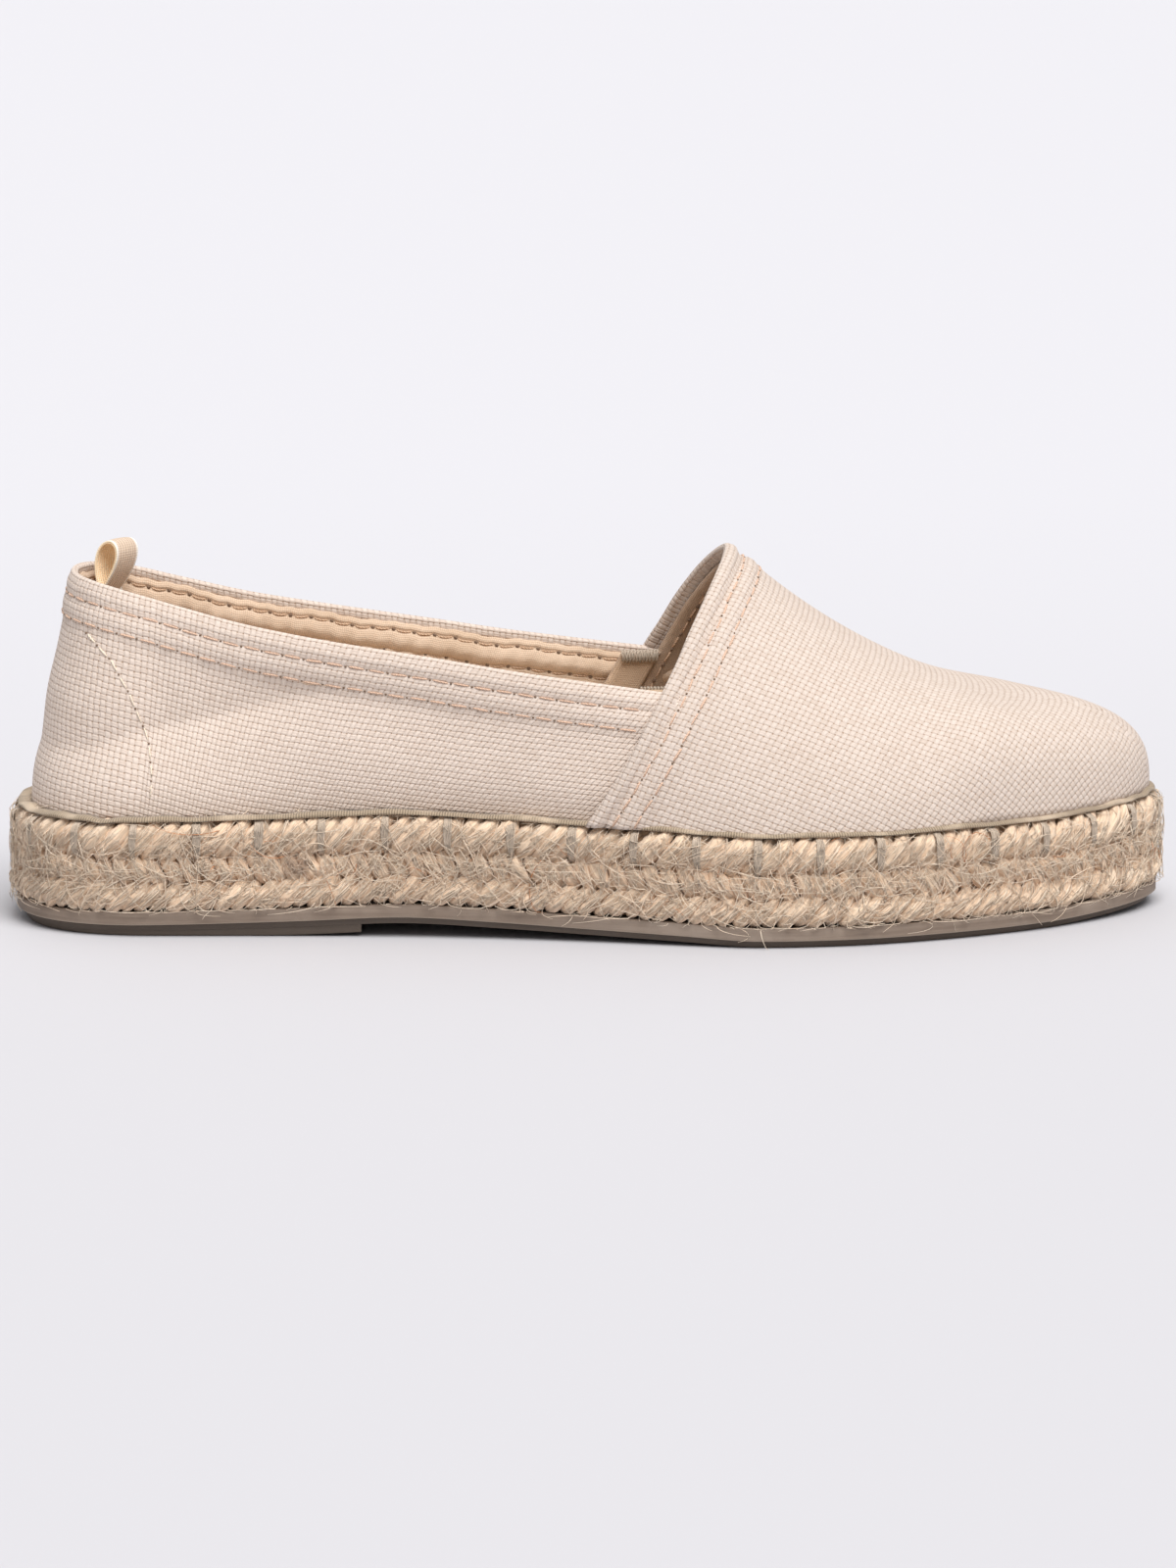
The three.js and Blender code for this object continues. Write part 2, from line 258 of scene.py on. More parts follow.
def edge_moved_in(turn, inset):
    """The sole's edge moved inwards, square to its own line."""
    step = 0.03
    x, y, at = sole_edge(turn)
    x0, y0, _ = sole_edge(turn - step)
    x1, y1, _ = sole_edge(turn + step)
    run = np.hypot(x1 - x0, y1 - y0)
    return x - (y1 - y0) / run * inset, y + (x1 - x0) / run * inset, at


def under_tread(at):
    return np.maximum(along(SOLE_ROWS, "lift", at), 0)


def band_top(at):
    return under_tread(at) + TREAD + BAND


def jute_top(at):
    return band_top(at) + GAP + JUTE


def pad_under(at):
    t = np.clip((at - PAD_FLAT_TO) / (PAD_END - PAD_FLAT_TO), 0, 1)
    return PAD_RISE * t * t


def deselect():
    if bpy.context.object and bpy.context.object.mode != "OBJECT":
        bpy.ops.object.mode_set(mode="OBJECT")
    bpy.ops.object.select_all(action="DESELECT")


def take(piece):
    """Selects the piece alone and makes it the active one."""
    deselect()
    piece.select_set(True)
    bpy.context.view_layer.objects.active = piece


def edit_all(piece, operator, **settings):
    """Runs one edit-mode operator on the whole of a piece."""
    take(piece)
    bpy.ops.object.mode_set(mode="EDIT")
    bpy.ops.mesh.select_all(action="SELECT")
    operator(**settings)
    bpy.ops.object.mode_set(mode="OBJECT")
    return piece


def lengths_along(line):
    """The distance along a line of points to each of them."""
    return np.concatenate([[0], np.cumsum(np.linalg.norm(np.diff(line, axis=0), axis=1))])


def panel(name, points, pattern=None, flip=False):
    """A grid whose vertices are put at points[row, column], with pattern as its UV map."""
    rows, columns = points.shape[:2]
    deselect()
    bpy.ops.mesh.primitive_grid_add(x_subdivisions=columns - 1, y_subdivisions=rows - 1, size=2)
    piece = bpy.context.object
    piece.name = name
    mesh = piece.data
    flat = np.empty(len(mesh.vertices) * 3)
    mesh.vertices.foreach_get("co", flat)
    flat = flat.reshape(-1, 3)
    i = np.rint((flat[:, 0] + 1) / 2 * (columns - 1)).astype(int)
    j = np.rint((flat[:, 1] + 1) / 2 * (rows - 1)).astype(int)
    mesh.vertices.foreach_set("co", (points[j, i] * MM).ravel())
    if pattern is not None:
        corner = np.empty(len(mesh.loops), int)
        mesh.loops.foreach_get("vertex_index", corner)
        mesh.uv_layers.active.data.foreach_set("uv", pattern[j, i][corner].ravel())
    if flip:
        edit_all(piece, bpy.ops.mesh.flip_normals)
    mesh.update()
    return piece


def join(pieces, weld=0.01):
    """The pieces as one, with the vertices that meet welded."""
    take(pieces[0])
    for piece in pieces[1:]:
        piece.select_set(True)
    if len(pieces) > 1:
        bpy.ops.object.join()
    edit_all(pieces[0], bpy.ops.mesh.remove_doubles, threshold=weld * MM)
    return edit_all(pieces[0], bpy.ops.mesh.dissolve_degenerate, threshold=weld * 0.1 * MM)


def smooth(piece, angle=None):
    take(piece)
    if angle is None:
        bpy.ops.object.shade_smooth()
    else:
        bpy.ops.object.shade_smooth_by_angle(angle=math.radians(angle))
    return piece


def with_modifier(piece, kind, **settings):
    take(piece)
    modifier = piece.modifiers.new(kind.lower(), kind)
    for key, value in settings.items():
        setattr(modifier, key, value)
    bpy.ops.object.modifier_apply(modifier=modifier.name)
    return piece


def ring_turns(stations=STATIONS):
    return np.linspace(0, 2 * math.pi, 2 * stations + 1)


def ring(inset, height, stations=STATIONS):
    """A closed ring of points inside the sole's edge; height is a function of the place."""
    x, y, at = edge_moved_in(ring_turns(stations), inset)
    return np.stack([x, y, height(at) + 0 * x], 1)


def lid(edge, across=10):
    """Rows across a ring, from its outer to its inner side, at each station."""
    count = len(edge) // 2
    outer, inner = edge[: count + 1], edge[: count - 1 : -1]
    share = np.linspace(0, 1, across + 1)[:, None, None]
    return outer[None] * (1 - share) + inner[None] * share


def ring_body(name, rings):
    """A closed body through rings from the lowest to the highest, with both ends closed. Its UV
    map is the distance round the wall and the distance up it; the ends have -1."""
    rings = np.stack(rings)
    around = lengths_along(rings[-1])
    up = np.concatenate([[0], np.cumsum(np.linalg.norm(np.diff(rings, axis=0), axis=2).mean(1))])
    wall = panel(name, rings, np.stack(np.meshgrid(around, up), -1))
    ends = [panel(name + "_end", lid(rings[-1])), panel(name + "_end", lid(rings[0]), flip=True)]
    for end in ends:
        end.data.uv_layers.active.data.foreach_set("uv", np.full(len(end.data.loops) * 2, -1.0))
    return join([wall, *ends])


def finish_piece(piece, material, slot, *replaced):
    """The piece's material and body, and the nodes that it stands for. slot is not used."""
    piece.data.materials.clear()
    piece.data.materials.append(material)
    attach(piece, "root")
    if replaced:
        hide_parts(*replaced)
    return piece


def rubber_material():
    material, tree, shader = new_material("grey-brown rubber", 0.62, 0.35)
    place = tree.place()
    streaks = tree.noise(tree.scaled(place, (35, 35, 900)), 1.0, 5, 0.6)
    cloud = tree.noise(place, 60, 5, 0.6)
    grain = tree.noise(place, 2600, 3, 0.6)
    base = tree.mixed(tree.ramp(streaks, 0.3, 0.72), (0.2, 0.148, 0.112), (0.275, 0.212, 0.165))
    dusty = tree.mixed(tree.ramp(cloud, 0.42, 0.75), base, (0.315, 0.25, 0.2))
    speck = tree.times(tree.ramp(grain, 0.62, 0.8), 0.35)
    specked = tree.mixed(speck, dusty, (0.15, 0.115, 0.09))
    wall = tree.new("SeparateXYZ", i0=tree.uv())
    # Painted highlight: a pale line along the band's lower edge, where the edge catches the light.
    from_lip = tree.maths("ABSOLUTE", tree.maths("SUBTRACT", wall.outputs["Y"], LIP_UP_THE_WALL))
    lip = tree.maths("SUBTRACT", 1.0, tree.ramp(from_lip, 0.16, 0.42))
    lip_highlight = tree.times(lip, 0.75)
    # Painted shade: low on the wall (the tread layer and heel pad under the band) and on the ends, the rubber
    # is painted nearly black.
    below = tree.maths("SUBTRACT", 1.0, tree.ramp(wall.outputs["Y"], 2.6, 3.1))
    soil_and_shade = tree.mixed(tree.times(below, 0.75), specked, (0.085, 0.067, 0.053))
    colour = tree.mixed(lip_highlight, soil_and_shade, (0.46, 0.37, 0.29))
    tree.link(colour, shader.inputs["Base Color"])
    height = tree.maths("ADD", tree.times(streaks, 0.8), grain)
    tree.bumped(shader, height, 0.12, 0.6)
    return material


def make_outsole():
    profile = zip(OUTSOLE_PROFILE["inset"], OUTSOLE_PROFILE["rise"])
    rings = [ring(inset, lambda at, r=rise: under_tread(at) + r) for inset, rise in profile]
    body = ring_body("outsole_rubber", rings)
    pad_rings = [
        ring(3.7, pad_under),
        ring(3.15, lambda at: pad_under(at) + 0.12),
        ring(2.95, lambda at: pad_under(at) + 0.45),
        ring(2.95, lambda at: under_tread(at) + 0.9),
    ]
    pad = ring_body("heel_pad", pad_rings)
    pad_front = (PAD_END - 0.5) * LENGTH * MM
    where = {"plane_co": (pad_front, 0, 0), "plane_no": (1, 0, 0), "threshold": 1e-6}
    edit_all(pad, bpy.ops.mesh.bisect, use_fill=True, clear_outer=True, **where)
    with_modifier(body, "BOOLEAN", operation="UNION", solver="EXACT", object=pad)
    bpy.data.objects.remove(pad)
    smooth(body, 40)
    return finish_piece(body, rubber_material(), "rubber", "outsole")


make_outsole()


# --- Plaited jute sole ----------------------------------------------------------------------
# A flat plait of jute coiled on edge and sewn through. Its outermost turn shows three rows of
# slanting strand ends, leaning one way, the other, and back. Loose fibres stand off all over.
PLAIT_TURNS = [
    {"low": 0.0, "high": 5.8, "pitch": 3.4, "run": 6.2, "lean": 1, "width": 1.6, "proud": 0.35},
    {"low": 5.4, "high": 11.4, "pitch": 3.7, "run": 4.8, "lean": -1, "width": 1.8, "proud": -0.3},
    {"low": 11.0, "high": 18.6, "pitch": 3.8, "run": 7.2, "lean": 1, "width": 1.85, "proud": 0.1},
]
STRAND_HALF_DEPTH = 1.7
STRAND_DIVE = 2.6  # how far the ends tuck in
STRAND_FIBRES = 9
CORE_INSET = 3.1
SEWING_PITCH = 13.6
SEWING_START = 6.6  # from the heel tip along the outer edge to the first grey stitch
LONG_FIBRES = 1500
FUZZ = 5400
STAIN_PLACE = (-0.063, -0.032, 0.016)


class Edge:
    """The sole's edge by distance along it from the heel tip, the outer side first."""

    turns = np.linspace(0, 2 * math.pi, 2881)
    x, y, at = sole_edge(turns)
    run = np.concatenate([[0], np.cumsum(np.hypot(np.diff(x), np.diff(y)))])
    total = run[-1]

    @classmethod
    def place(cls, distance, inset, height):
        """A point inside the edge; height is measured up from the jute's underside."""
        turn = np.interp(np.mod(distance, cls.total), cls.run, cls.turns)
        x, y, at = edge_moved_in(turn, inset)
        return np.stack([x, y, band_top(at) + GAP + height], -1)

    @classmethod
    def outward(cls, distance):
        here = cls.place(distance, 0, 0)
        inner = cls.place(distance, 1, 0)
        return here - inner


class Pile:
    """Many small shapes gathered into one mesh, with a UV map and a tone for each shape."""

    def __init__(self):
        self.points, self.faces, self.uv, self.tones, self.count = [], [], [], [], 0

    def tube(
        self, path, radii, tone, sides=6, flat=1.0, side_hint=None, twist=0.0, lobes=0, lobe=0.0, shift=0.0
    ):
        """A closed tube along path. flat scales the width across side_hint; lobes are the plies
        that twist round it, each standing off by a share of the radius."""
        path = np.asarray(path, float)
        radii = np.broadcast_to(np.asarray(radii, float), (len(path),))
        run = np.gradient(path, axis=0)
        run /= np.linalg.norm(run, axis=1)[:, None] + 1e-12
        hint = np.array((0.0, 0.0, 1.0) if side_hint is None else side_hint)
        up = np.cross(run, np.broadcast_to(hint, run.shape))
        weak = np.linalg.norm(up, axis=1) < 0.2
        up[weak] = np.cross(run[weak], np.array((1.0, 0.3, 0.0)))
        up /= np.linalg.norm(up, axis=1)[:, None]
        side = np.cross(up, run)
        angle = np.arange(sides) / sides * 2 * math.pi
        length = lengths_along(path)
        turned = angle[None] + twist * length[:, None]
        swell = 1 + lobe * np.cos(lobes * turned)
        ring_points = (
            path[:, None]
            + up[:, None] * (np.cos(angle)[None] * swell * radii[:, None])[..., None] * flat
            + side[:, None] * (np.sin(angle)[None] * swell * radii[:, None])[..., None]
        )
        base = self.count
        self.points.append(ring_points.reshape(-1, 3))
        rings = len(path)
        v = shift + angle * radii.mean()
        self.uv.append(np.stack(np.broadcast_arrays(length[:, None] + shift, v[None]), -1).reshape(-1, 2))
        self.tones.append(np.full(rings * sides, tone))
        for k in range(rings - 1):
            for s in range(sides):
                a, b = base + k * sides + s, base + k * sides + (s + 1) % sides
                self.faces.append((a, b, b + sides, a + sides))
        self.faces.append(tuple(base + s for s in reversed(range(sides))))
        self.faces.append(tuple(base + (rings - 1) * sides + s for s in range(sides)))
        self.count += rings * sides

    def build(self, name):
        mesh = bpy.data.meshes.new(name)
        points = np.concatenate(self.points)
        mesh.from_pydata((points * MM).tolist(), [], self.faces)
        corner = np.empty(len(mesh.loops), int)
        mesh.loops.foreach_get("vertex_index", corner)
        layer = mesh.uv_layers.new(name="UVMap")
        layer.data.foreach_set("uv", np.concatenate(self.uv)[corner].ravel())
        tone = mesh.attributes.new("tone", "FLOAT", "POINT")
        tone.data.foreach_set("value", np.concatenate(self.tones))
        mesh.update()
        piece = bpy.data.objects.new(name, mesh)
        scene.collection.objects.link(piece)
        return smooth(edit_all(piece, bpy.ops.mesh.normals_make_consistent, inside=False))


sewing_count = round(Edge.total / SEWING_PITCH)
sewing_places = SEWING_START + np.arange(sewing_count) * Edge.total / sewing_count


def sewing_pull(distance):
    """How strongly the grey stitches squeeze the plait here, from 0 to 1."""
    past = np.mod(distance - SEWING_START + 0.5 * SEWING_PITCH, Edge.total / sewing_count)
    gap = np.abs(past - 0.5 * SEWING_PITCH)
    return np.exp(-((gap / 1.7) ** 2))


def jute_material(name, light, dark, root):
    """Jute: long fibres along the strand, each strand a little different. The core that shows in the gaps is
    given darker colours, as painted shade.
    """
    material, tree, shader = new_material(name, 0.85, 0.15, 0.25)
    shader.inputs["Sheen Roughness"].default_value = 0.6
    uv = tree.uv()
    place = tree.place()
    tone = tree.new("Attribute")
    tone.attribute_name = "tone"
    fine = tree.noise(tree.scaled(uv, (0.3, 4.2, 1)), 1.0, 4, 0.7, 0.35)
    coarse = tree.noise(tree.scaled(uv, (0.12, 1.5, 1)), 1.0, 3, 0.6, 0.4)
    stain = tree.noise(place, 42, 4, 0.6)
    fibres = tree.maths("ADD", tree.times(fine, 0.62), tree.times(coarse, 0.38))
    base = tree.mixed(tree.ramp(fibres, 0.36, 0.6), dark, light)
    toned = tree.mixed(tree.times(tone.outputs["Fac"], 0.42), base, root)
    dirt = tree.times(tree.ramp(stain, 0.58, 0.78), 0.3)
    dirty = tree.mixed(dirt, toned, (0.3, 0.19, 0.11))
    away = tree.new("VectorMath", "DISTANCE", i0=place, i1=STAIN_PLACE)
    ragged = tree.maths("MULTIPLY_ADD", tree.noise(place, 420, 3), 0.006, away.outputs["Value"])
    spot = tree.maths("MAXIMUM", tree.maths("SUBTRACT", 0.5, tree.ramp(ragged, 0.0045, 0.0085)), 0.0)
    stained = tree.mixed(spot, dirty, (0.36, 0.2, 0.12))
    orange = tree.ramp(tone.outputs["Fac"], 1.4, 1.5)
    tree.link(tree.mixed(orange, stained, (0.72, 0.28, 0.1)), shader.inputs["Base Color"])
    tree.bumped(shader, fibres, 0.55, 1.0)
    return material


JUTE_LIGHT = (0.99, 0.775, 0.565)
JUTE_DARK = (0.62, 0.42, 0.27)
JUTE_ROOT = (0.9, 0.63, 0.43)


def make_plait_core():
    steps = 9
    rings = []
    for k in range(steps):
        share = k / (steps - 1)
        rim = abs(2 * share - 1) ** 6
        rings.append(ring(CORE_INSET + 0.8 * rim, lambda at, s=share: band_top(at) + GAP + JUTE * s))
    core = smooth(ring_body("plait_core", rings), 60)
    # Painted shade: the core, seen only in the gaps between the strands, is painted much darker than the
    # strands.
    core_paint = jute_material("jute in the gaps, painted shade", (0.7, 0.48, 0.31), (0.38, 0.24, 0.145), (0.48, 0.31, 0.19))
    return finish_piece(core, core_paint, "jute", "jute_sole")


def make_plait_strands():
    random.seed(41)
    pile, hairs = Pile(), Pile()
    share = np.linspace(0, 1, 11)
    reach = 2 * share - 1
    for turn in PLAIT_TURNS:
        count = round(Edge.total / turn["pitch"])
        top_turn = turn["high"] > 0.9 * JUTE
        for n in range(count):
            here = n * Edge.total / count + random.uniform(-0.4, 0.4)
            squeeze = float(sewing_pull(here)) if top_turn else 0.0
            run = turn["run"] * random.uniform(0.85, 1.15)
            tall = (turn["high"] - turn["low"]) * random.uniform(1.0, 1.14)
            middle = (turn["high"] + turn["low"]) / 2 + random.uniform(-0.4, 0.4)
            proud = turn["proud"] + random.uniform(-0.4, 0.25) - 0.8 * squeeze
            distance = here + turn["lean"] * reach * run / 2 + 0.25 * np.sin(reach * 2.5)
            height = np.clip(middle + reach * tall / 2 - 0.35 * squeeze, 0.55, JUTE - 0.6)
            dive = np.where(top_turn & (reach > 0), 0.8, STRAND_DIVE) * np.abs(reach) ** 2.8
            inset = STRAND_HALF_DEPTH + 0.1 - proud + dive
            rim = 2.0 * np.clip(height / JUTE - 0.88, 0, 1) / 0.12
            path = Edge.place(distance, inset + rim, height)
            taper = 1 - 0.45 * np.abs(reach) ** 3 * np.where(top_turn & (reach > 0), 0.4, 1)
            uneven = 1 + 0.07 * np.sin(reach * random.uniform(3, 7) + random.uniform(0, 6))
            girth = turn["width"] * random.uniform(0.82, 1.14) * taper * uneven
            outward = Edge.outward(here)
            pile.tube(
                path,
                girth,
                tone=random.random(),
                sides=12,
                flat=STRAND_HALF_DEPTH / turn["width"],
                side_hint=np.cross(outward, path[-1] - path[0]),
                twist=0.35 * turn["lean"],
                lobes=random.choice((3, 4, 5)),
                lobe=random.uniform(0.06, 0.13),
                shift=random.uniform(0, 60),
            )
            run_line = (path[-1] - path[0]) / np.linalg.norm(path[-1] - path[0])
            sideways = np.cross(outward, run_line)
            for _ in range(STRAND_FIBRES):
                start, end = sorted((random.randint(0, 5), random.randint(5, 10)))
                if end - start < 4:
                    end = start + 4
                line = path[start : end + 1]
                across = random.uniform(-0.85, 0.85)
                drift = np.linspace(across, across + random.gauss(0, 0.3), len(line))
                stand = np.sqrt(np.maximum(1 - np.clip(drift, -1, 1) ** 2, 0)) * STRAND_HALF_DEPTH
                stand = stand * (girth[start : end + 1] / turn["width"]) + random.uniform(-0.02, 0.3)
                place = line + outward * stand[:, None] + sideways * (drift * girth[start : end + 1])[:, None]
                thick = random.uniform(0.08, 0.17) * np.sin(np.linspace(0.5, 2.7, len(line)))
                hairs.tube(place, thick, sides=3, tone=random.random(), shift=random.uniform(0, 60))
    strands = pile.build("plait_strands")
    finish_piece(strands, jute_material("jute strands", JUTE_LIGHT, JUTE_DARK, JUTE_ROOT), "jute")
    fibres = hairs.build("strand_fibres")
    paint = jute_material("fibres of the strands", (1.0, 0.86, 0.68), (0.9, 0.7, 0.52), (0.92, 0.69, 0.5))
    finish_piece(fibres, paint, "jute")
    return paint


def make_loose_fibres(paint):
    random.seed(7)
    pile = Pile()
    for n in range(LONG_FIBRES + FUZZ):
        long_one = n < LONG_FIBRES
        length = random.uniform(5, 16) if long_one else random.uniform(1.5, 4.5)
        steps = 8 if long_one else 4
        distance = random.uniform(0, Edge.total)
        height = JUTE * random.random() if n % 3 else random.gauss(8.4, 2.2)
        slant = random.choice((0.75, 0.75, -0.9)) + random.gauss(0, 0.6) + random.choice((0, math.pi))
        curl = random.gauss(0, 1.0)
        tone = random.random()
        if n % 130 == 0:
            tone = 1.6
        share = np.linspace(0, 1, steps)
        bend = slant + curl * share
        sideways = distance + np.cumsum(np.cos(bend)) * length / (steps - 1)
        rise = height + np.cumsum(np.sin(bend)) * length / (steps - 1)
        rise = np.where(rise < 0, rise * random.uniform(0.0, 0.45) ** 1.3, rise)
        rise = np.where(rise > JUTE, JUTE + (rise - JUTE) * 0.25, rise)
        lift = random.uniform(0.15, 1.0) if long_one else random.uniform(0.1, 0.7)
        inset = 0.1 - lift * np.sin(share * math.pi * random.uniform(0.6, 1.0))
        inset += 2.2 * np.clip(rise / JUTE - 0.93, 0, 1) / 0.07
        path = Edge.place(sideways, inset, rise)
        path[:, 2] = np.maximum(path[:, 2], 0.3)
        thick = random.uniform(0.08, 0.13) if long_one else random.uniform(0.06, 0.11)
        pile.tube(path, thick * (1 - 0.55 * share), sides=3, tone=tone, shift=random.uniform(0, 60))
    fibres = pile.build("loose_fibres")
    return finish_piece(fibres, paint, "jute")


make_plait_core()
FIBRE_PAINT = make_plait_strands()
make_loose_fibres(FIBRE_PAINT)


# --- Sewing of the rim ----------------------------------------------------------------------
# Soft grey yarn sews the upper to the plait: it comes over the rim at even steps and goes into
# the groove under the top turn. Each stitch is a bundle of loose parallel threads.
YARN_THREADS = 6
YARN_SPREAD = 1.9
STITCH_LOW = 10.9


def make_rim_sewing():
    random.seed(12)
    pile = Pile()
    share = np.linspace(0, 1, 11)
    for place in sewing_places:
        lean = random.uniform(-0.5, 0.5)
        pinch = random.uniform(0.65, 1.0)
        for n in range(YARN_THREADS):
            across = (n / (YARN_THREADS - 1) - 0.5) * YARN_SPREAD * pinch
            gather = 1 - 0.55 * share**2 - 0.2 * (1 - share) ** 3
            distance = place + lean * share + across * gather + 0.08 * np.sin(share * 9 + n)
            height = JUTE + 0.75 - (JUTE + 0.75 - STITCH_LOW) * share
            over_rim = 3.6 * np.exp(-((share / 0.13) ** 2))
            into_groove = 2.2 * np.exp(-(((1 - share) / 0.09) ** 2))
            inset = 0.28 + over_rim + into_groove - random.uniform(0, 0.12) - 0.3 * np.sin(share * math.pi)
            path = Edge.place(distance, inset, height)
            pile.tube(path, random.uniform(0.15, 0.2), random.random(), shift=random.uniform(0, 60))
    yarn = pile.build("rim_sewing")
    material, tree, shader = new_material("grey yarn", 0.85, 0.15, 0.2)
    uv = tree.uv()
    place = tree.place()
    plies = tree.noise(tree.scaled(uv, (0.9, 5, 1)), 1.0, 3, 0.6, 0.6)
    soil = tree.noise(place, 160, 3)
    base = tree.mixed(tree.ramp(plies, 0.35, 0.65), (0.36, 0.28, 0.205), (0.72, 0.59, 0.47))
    soil_and_shade = tree.mixed(tree.times(soil, 0.4), base, (0.42, 0.34, 0.26))
    tree.link(soil_and_shade, shader.inputs["Base Color"])
    tree.bumped(shader, plies, 0.3, 0.9)
    return finish_piece(yarn, material, "tape")


make_rim_sewing()


# --- Tape on the rim ------------------------------------------------------------------------
# A narrow khaki cotton tape that lies on the plait's top edge, against the foot of the canvas.
TAPE_PROFILE = {
    "inset": [4.4, 2.2, 1.4, 1.2, 1.4, 1.9, 2.6, 4.4],
    "rise": [-0.1, -0.15, -0.05, 0.15, 0.45, 0.7, 0.8, 0.75],
}


def make_edge_tape():
    random.seed(5)
    stations = 240
    turns = ring_turns(stations)
    waves = [(random.randint(9, 60), random.uniform(0, 6.28), random.uniform(0.04, 0.1)) for _ in range(9)]
    ripple = sum(size * np.sin(count * turns + start) for count, start, size in waves)
    rings = []
    for inset, rise in zip(TAPE_PROFILE["inset"], TAPE_PROFILE["rise"]):
        x, y, at = edge_moved_in(turns, inset + 0.5 * ripple)
        rings.append(np.stack([x, y, jute_top(at) + GAP + rise + ripple * (rise > 0)], 1))
    rings = np.stack(rings + [rings[0]])
    around = lengths_along(rings[2])
    pattern = np.stack(np.meshgrid(around, np.arange(len(rings)) * 0.6), -1)
    tape = smooth(join([panel("edge_tape_woven", rings, pattern)], 0.02))
    material, tree, shader = new_material("khaki tape", 0.9, 0.1, 0.2)
    uv = tree.uv()
    place = tree.place()
    ribs = tree.new("TexWave", Vector=uv, Scale=0.55, Distortion=1.5, Detail=2.0)
    lint = tree.noise(tree.scaled(uv, (1.2, 5, 1)), 1.0, 4, 0.65)
    cloud = tree.noise(place, 120, 3)
    weave = tree.maths("MULTIPLY_ADD", lint, 0.8, tree.times(ribs.outputs["Fac"], 0.4))
    base = tree.mixed(tree.ramp(weave, 0.3, 0.9), (0.22, 0.165, 0.11), (0.5, 0.39, 0.275))
    tree.link(tree.mixed(tree.ramp(cloud, 0.45, 0.7), base, (0.6, 0.475, 0.345)), shader.inputs["Base Color"])
    tree.bumped(shader, weave, 0.3, 1.0)
    return finish_piece(tape, material, "tape", "edge_tape")


make_edge_tape()


# --- Canvas upper: the shape of the last ----------------------------------------------------
# The cloth stands on the jute's rim and closes over the toes. Ribs rise from the rim to a crown
# line; behind the throat the crown is only the form that the side walls lean towards.
FEATHER_INSET = 2.6
HEEL_POLE = 0.128
TOE_POLE = 0.857
THROAT_SKEW = 0.07
CANVAS = 0.8
LAST_ROWS = {
    "at": [0.128, 0.2, 0.3, 0.44, 0.55, 0.624, 0.694, 0.748, 0.8, 0.857, 1],
    "crown": [112, 112, 111, 107, 93, 79.5, 66.5, 58.3, 52.4, 48.2, 42.6],
    "fullness": [1.32, 1.5, 1.86, 2.0, 1.62, 1.62, 1.8, 1.95, 2.2, 3.3, 3.3],
    "middle": [0, -0.4, -1, -2, 0, 1.5, 2, 3, 4.5, 7, 7],
}
# Heights of the topline, by distance from the heel
TOPLINE_ROWS = {
    "at": [-6, 13, 20, 27, 37, 50, 63, 76, 93, 107, 124, 136, 160],
    "height": [75.8, 75.6, 74.6, 73, 70.4, 67.2, 64.8, 62.8, 60.4, 58.3, 56, 54.4, 51.2],
}
# The back edge of the toe part, from the rim up to the throat's point: distance from the heel by height
BACK_EDGE_ROWS = {
    "at": [24, 27, 35, 44, 54.5, 60, 66, 73.8, 81],
    "from_heel": [123.2, 125.4, 130.6, 135.8, 141.4, 144.4, 147.6, 152.6, 158.2],
}


def form(turn, up):
    """A point on the outside of the upper: turn round the ring, up from 0 at the rim to 1."""
    x0, y0, at = edge_moved_in(turn, FEATHER_INSET)
    spine = np.clip(at, HEEL_POLE, TOE_POLE)
    fullness = along(LAST_ROWS, "fullness", spine)
    out = np.maximum(1 - np.clip(up, 0, 1) ** fullness, 0) ** (1 / fullness)
    mid_x = (spine - 0.5) * LENGTH
    mid_y = along(LAST_ROWS, "middle", spine) + HEEL_LINE
    x = mid_x + (x0 - mid_x) * out
    y = mid_y + (y0 - mid_y) * out
    low = jute_top(at) + GAP
    crown = along(LAST_ROWS, "crown", x / LENGTH + 0.5)
    return np.stack([x, y, low + (crown - low) * up], -1)


def form_at_height(turn, height):
    """A point on the outside of the upper at a height above the floor."""
    turn, height = np.broadcast_arrays(np.asarray(turn, float), np.asarray(height, float))
    low = jute_top((1 - np.cos(turn)) / 2) + GAP
    point = form(turn, np.full(turn.shape, 0.3))
    for _ in range(6):
        crown = along(LAST_ROWS, "crown", point[..., 0] / LENGTH + 0.5)
        point = form(turn, (height - low) / (crown - low))
    return point


def back_edge(point):
    """Where the toe part begins, along X, at a point's height and side."""
    from_heel = along(BACK_EDGE_ROWS, "from_heel", point[..., 2])
    return from_heel - LENGTH / 2 - THROAT_SKEW * (point[..., 1] - HEEL_LINE + 23)


def grid_normals(points):
    """Unit normals of a grid of points; where it comes to a point, those of the rows beside it."""
    normal = np.cross(np.gradient(points, axis=1), np.gradient(points, axis=0))
    size = np.linalg.norm(normal, axis=2)
    weak = size < 1e-3 * np.median(size)
    normal /= np.maximum(size, 1e-9)[..., None]
    for _ in range(3):
        near = np.zeros_like(normal)
        near[1:] += normal[:-1] * ~weak[:-1, :, None]
        near[:-1] += normal[1:] * ~weak[1:, :, None]
        length = np.linalg.norm(near, axis=2)
        fixed = weak & (length > 0.1)
        normal[fixed] = near[fixed] / length[fixed][:, None]
        weak &= ~fixed
    return normal


def bump_at(value, centre, width):
    return np.exp(-(((value - centre) / width) ** 2))


def step_down(value, edge, width):
    """1 below the edge, 0 above it."""
    return 1 / (1 + np.exp((value - edge) / width))


# --- Canvas upper: cloth --------------------------------------------------------------------
# Undyed cotton canvas in a basket weave of doubled threads, with small gaps at the corners of
# the cells where the tan backing shows through, painted dark as the shade inside the holes.
WEAVE_PITCH = 1.3
CANVAS_GAP_SHADED = (0.38, 0.25, 0.172)


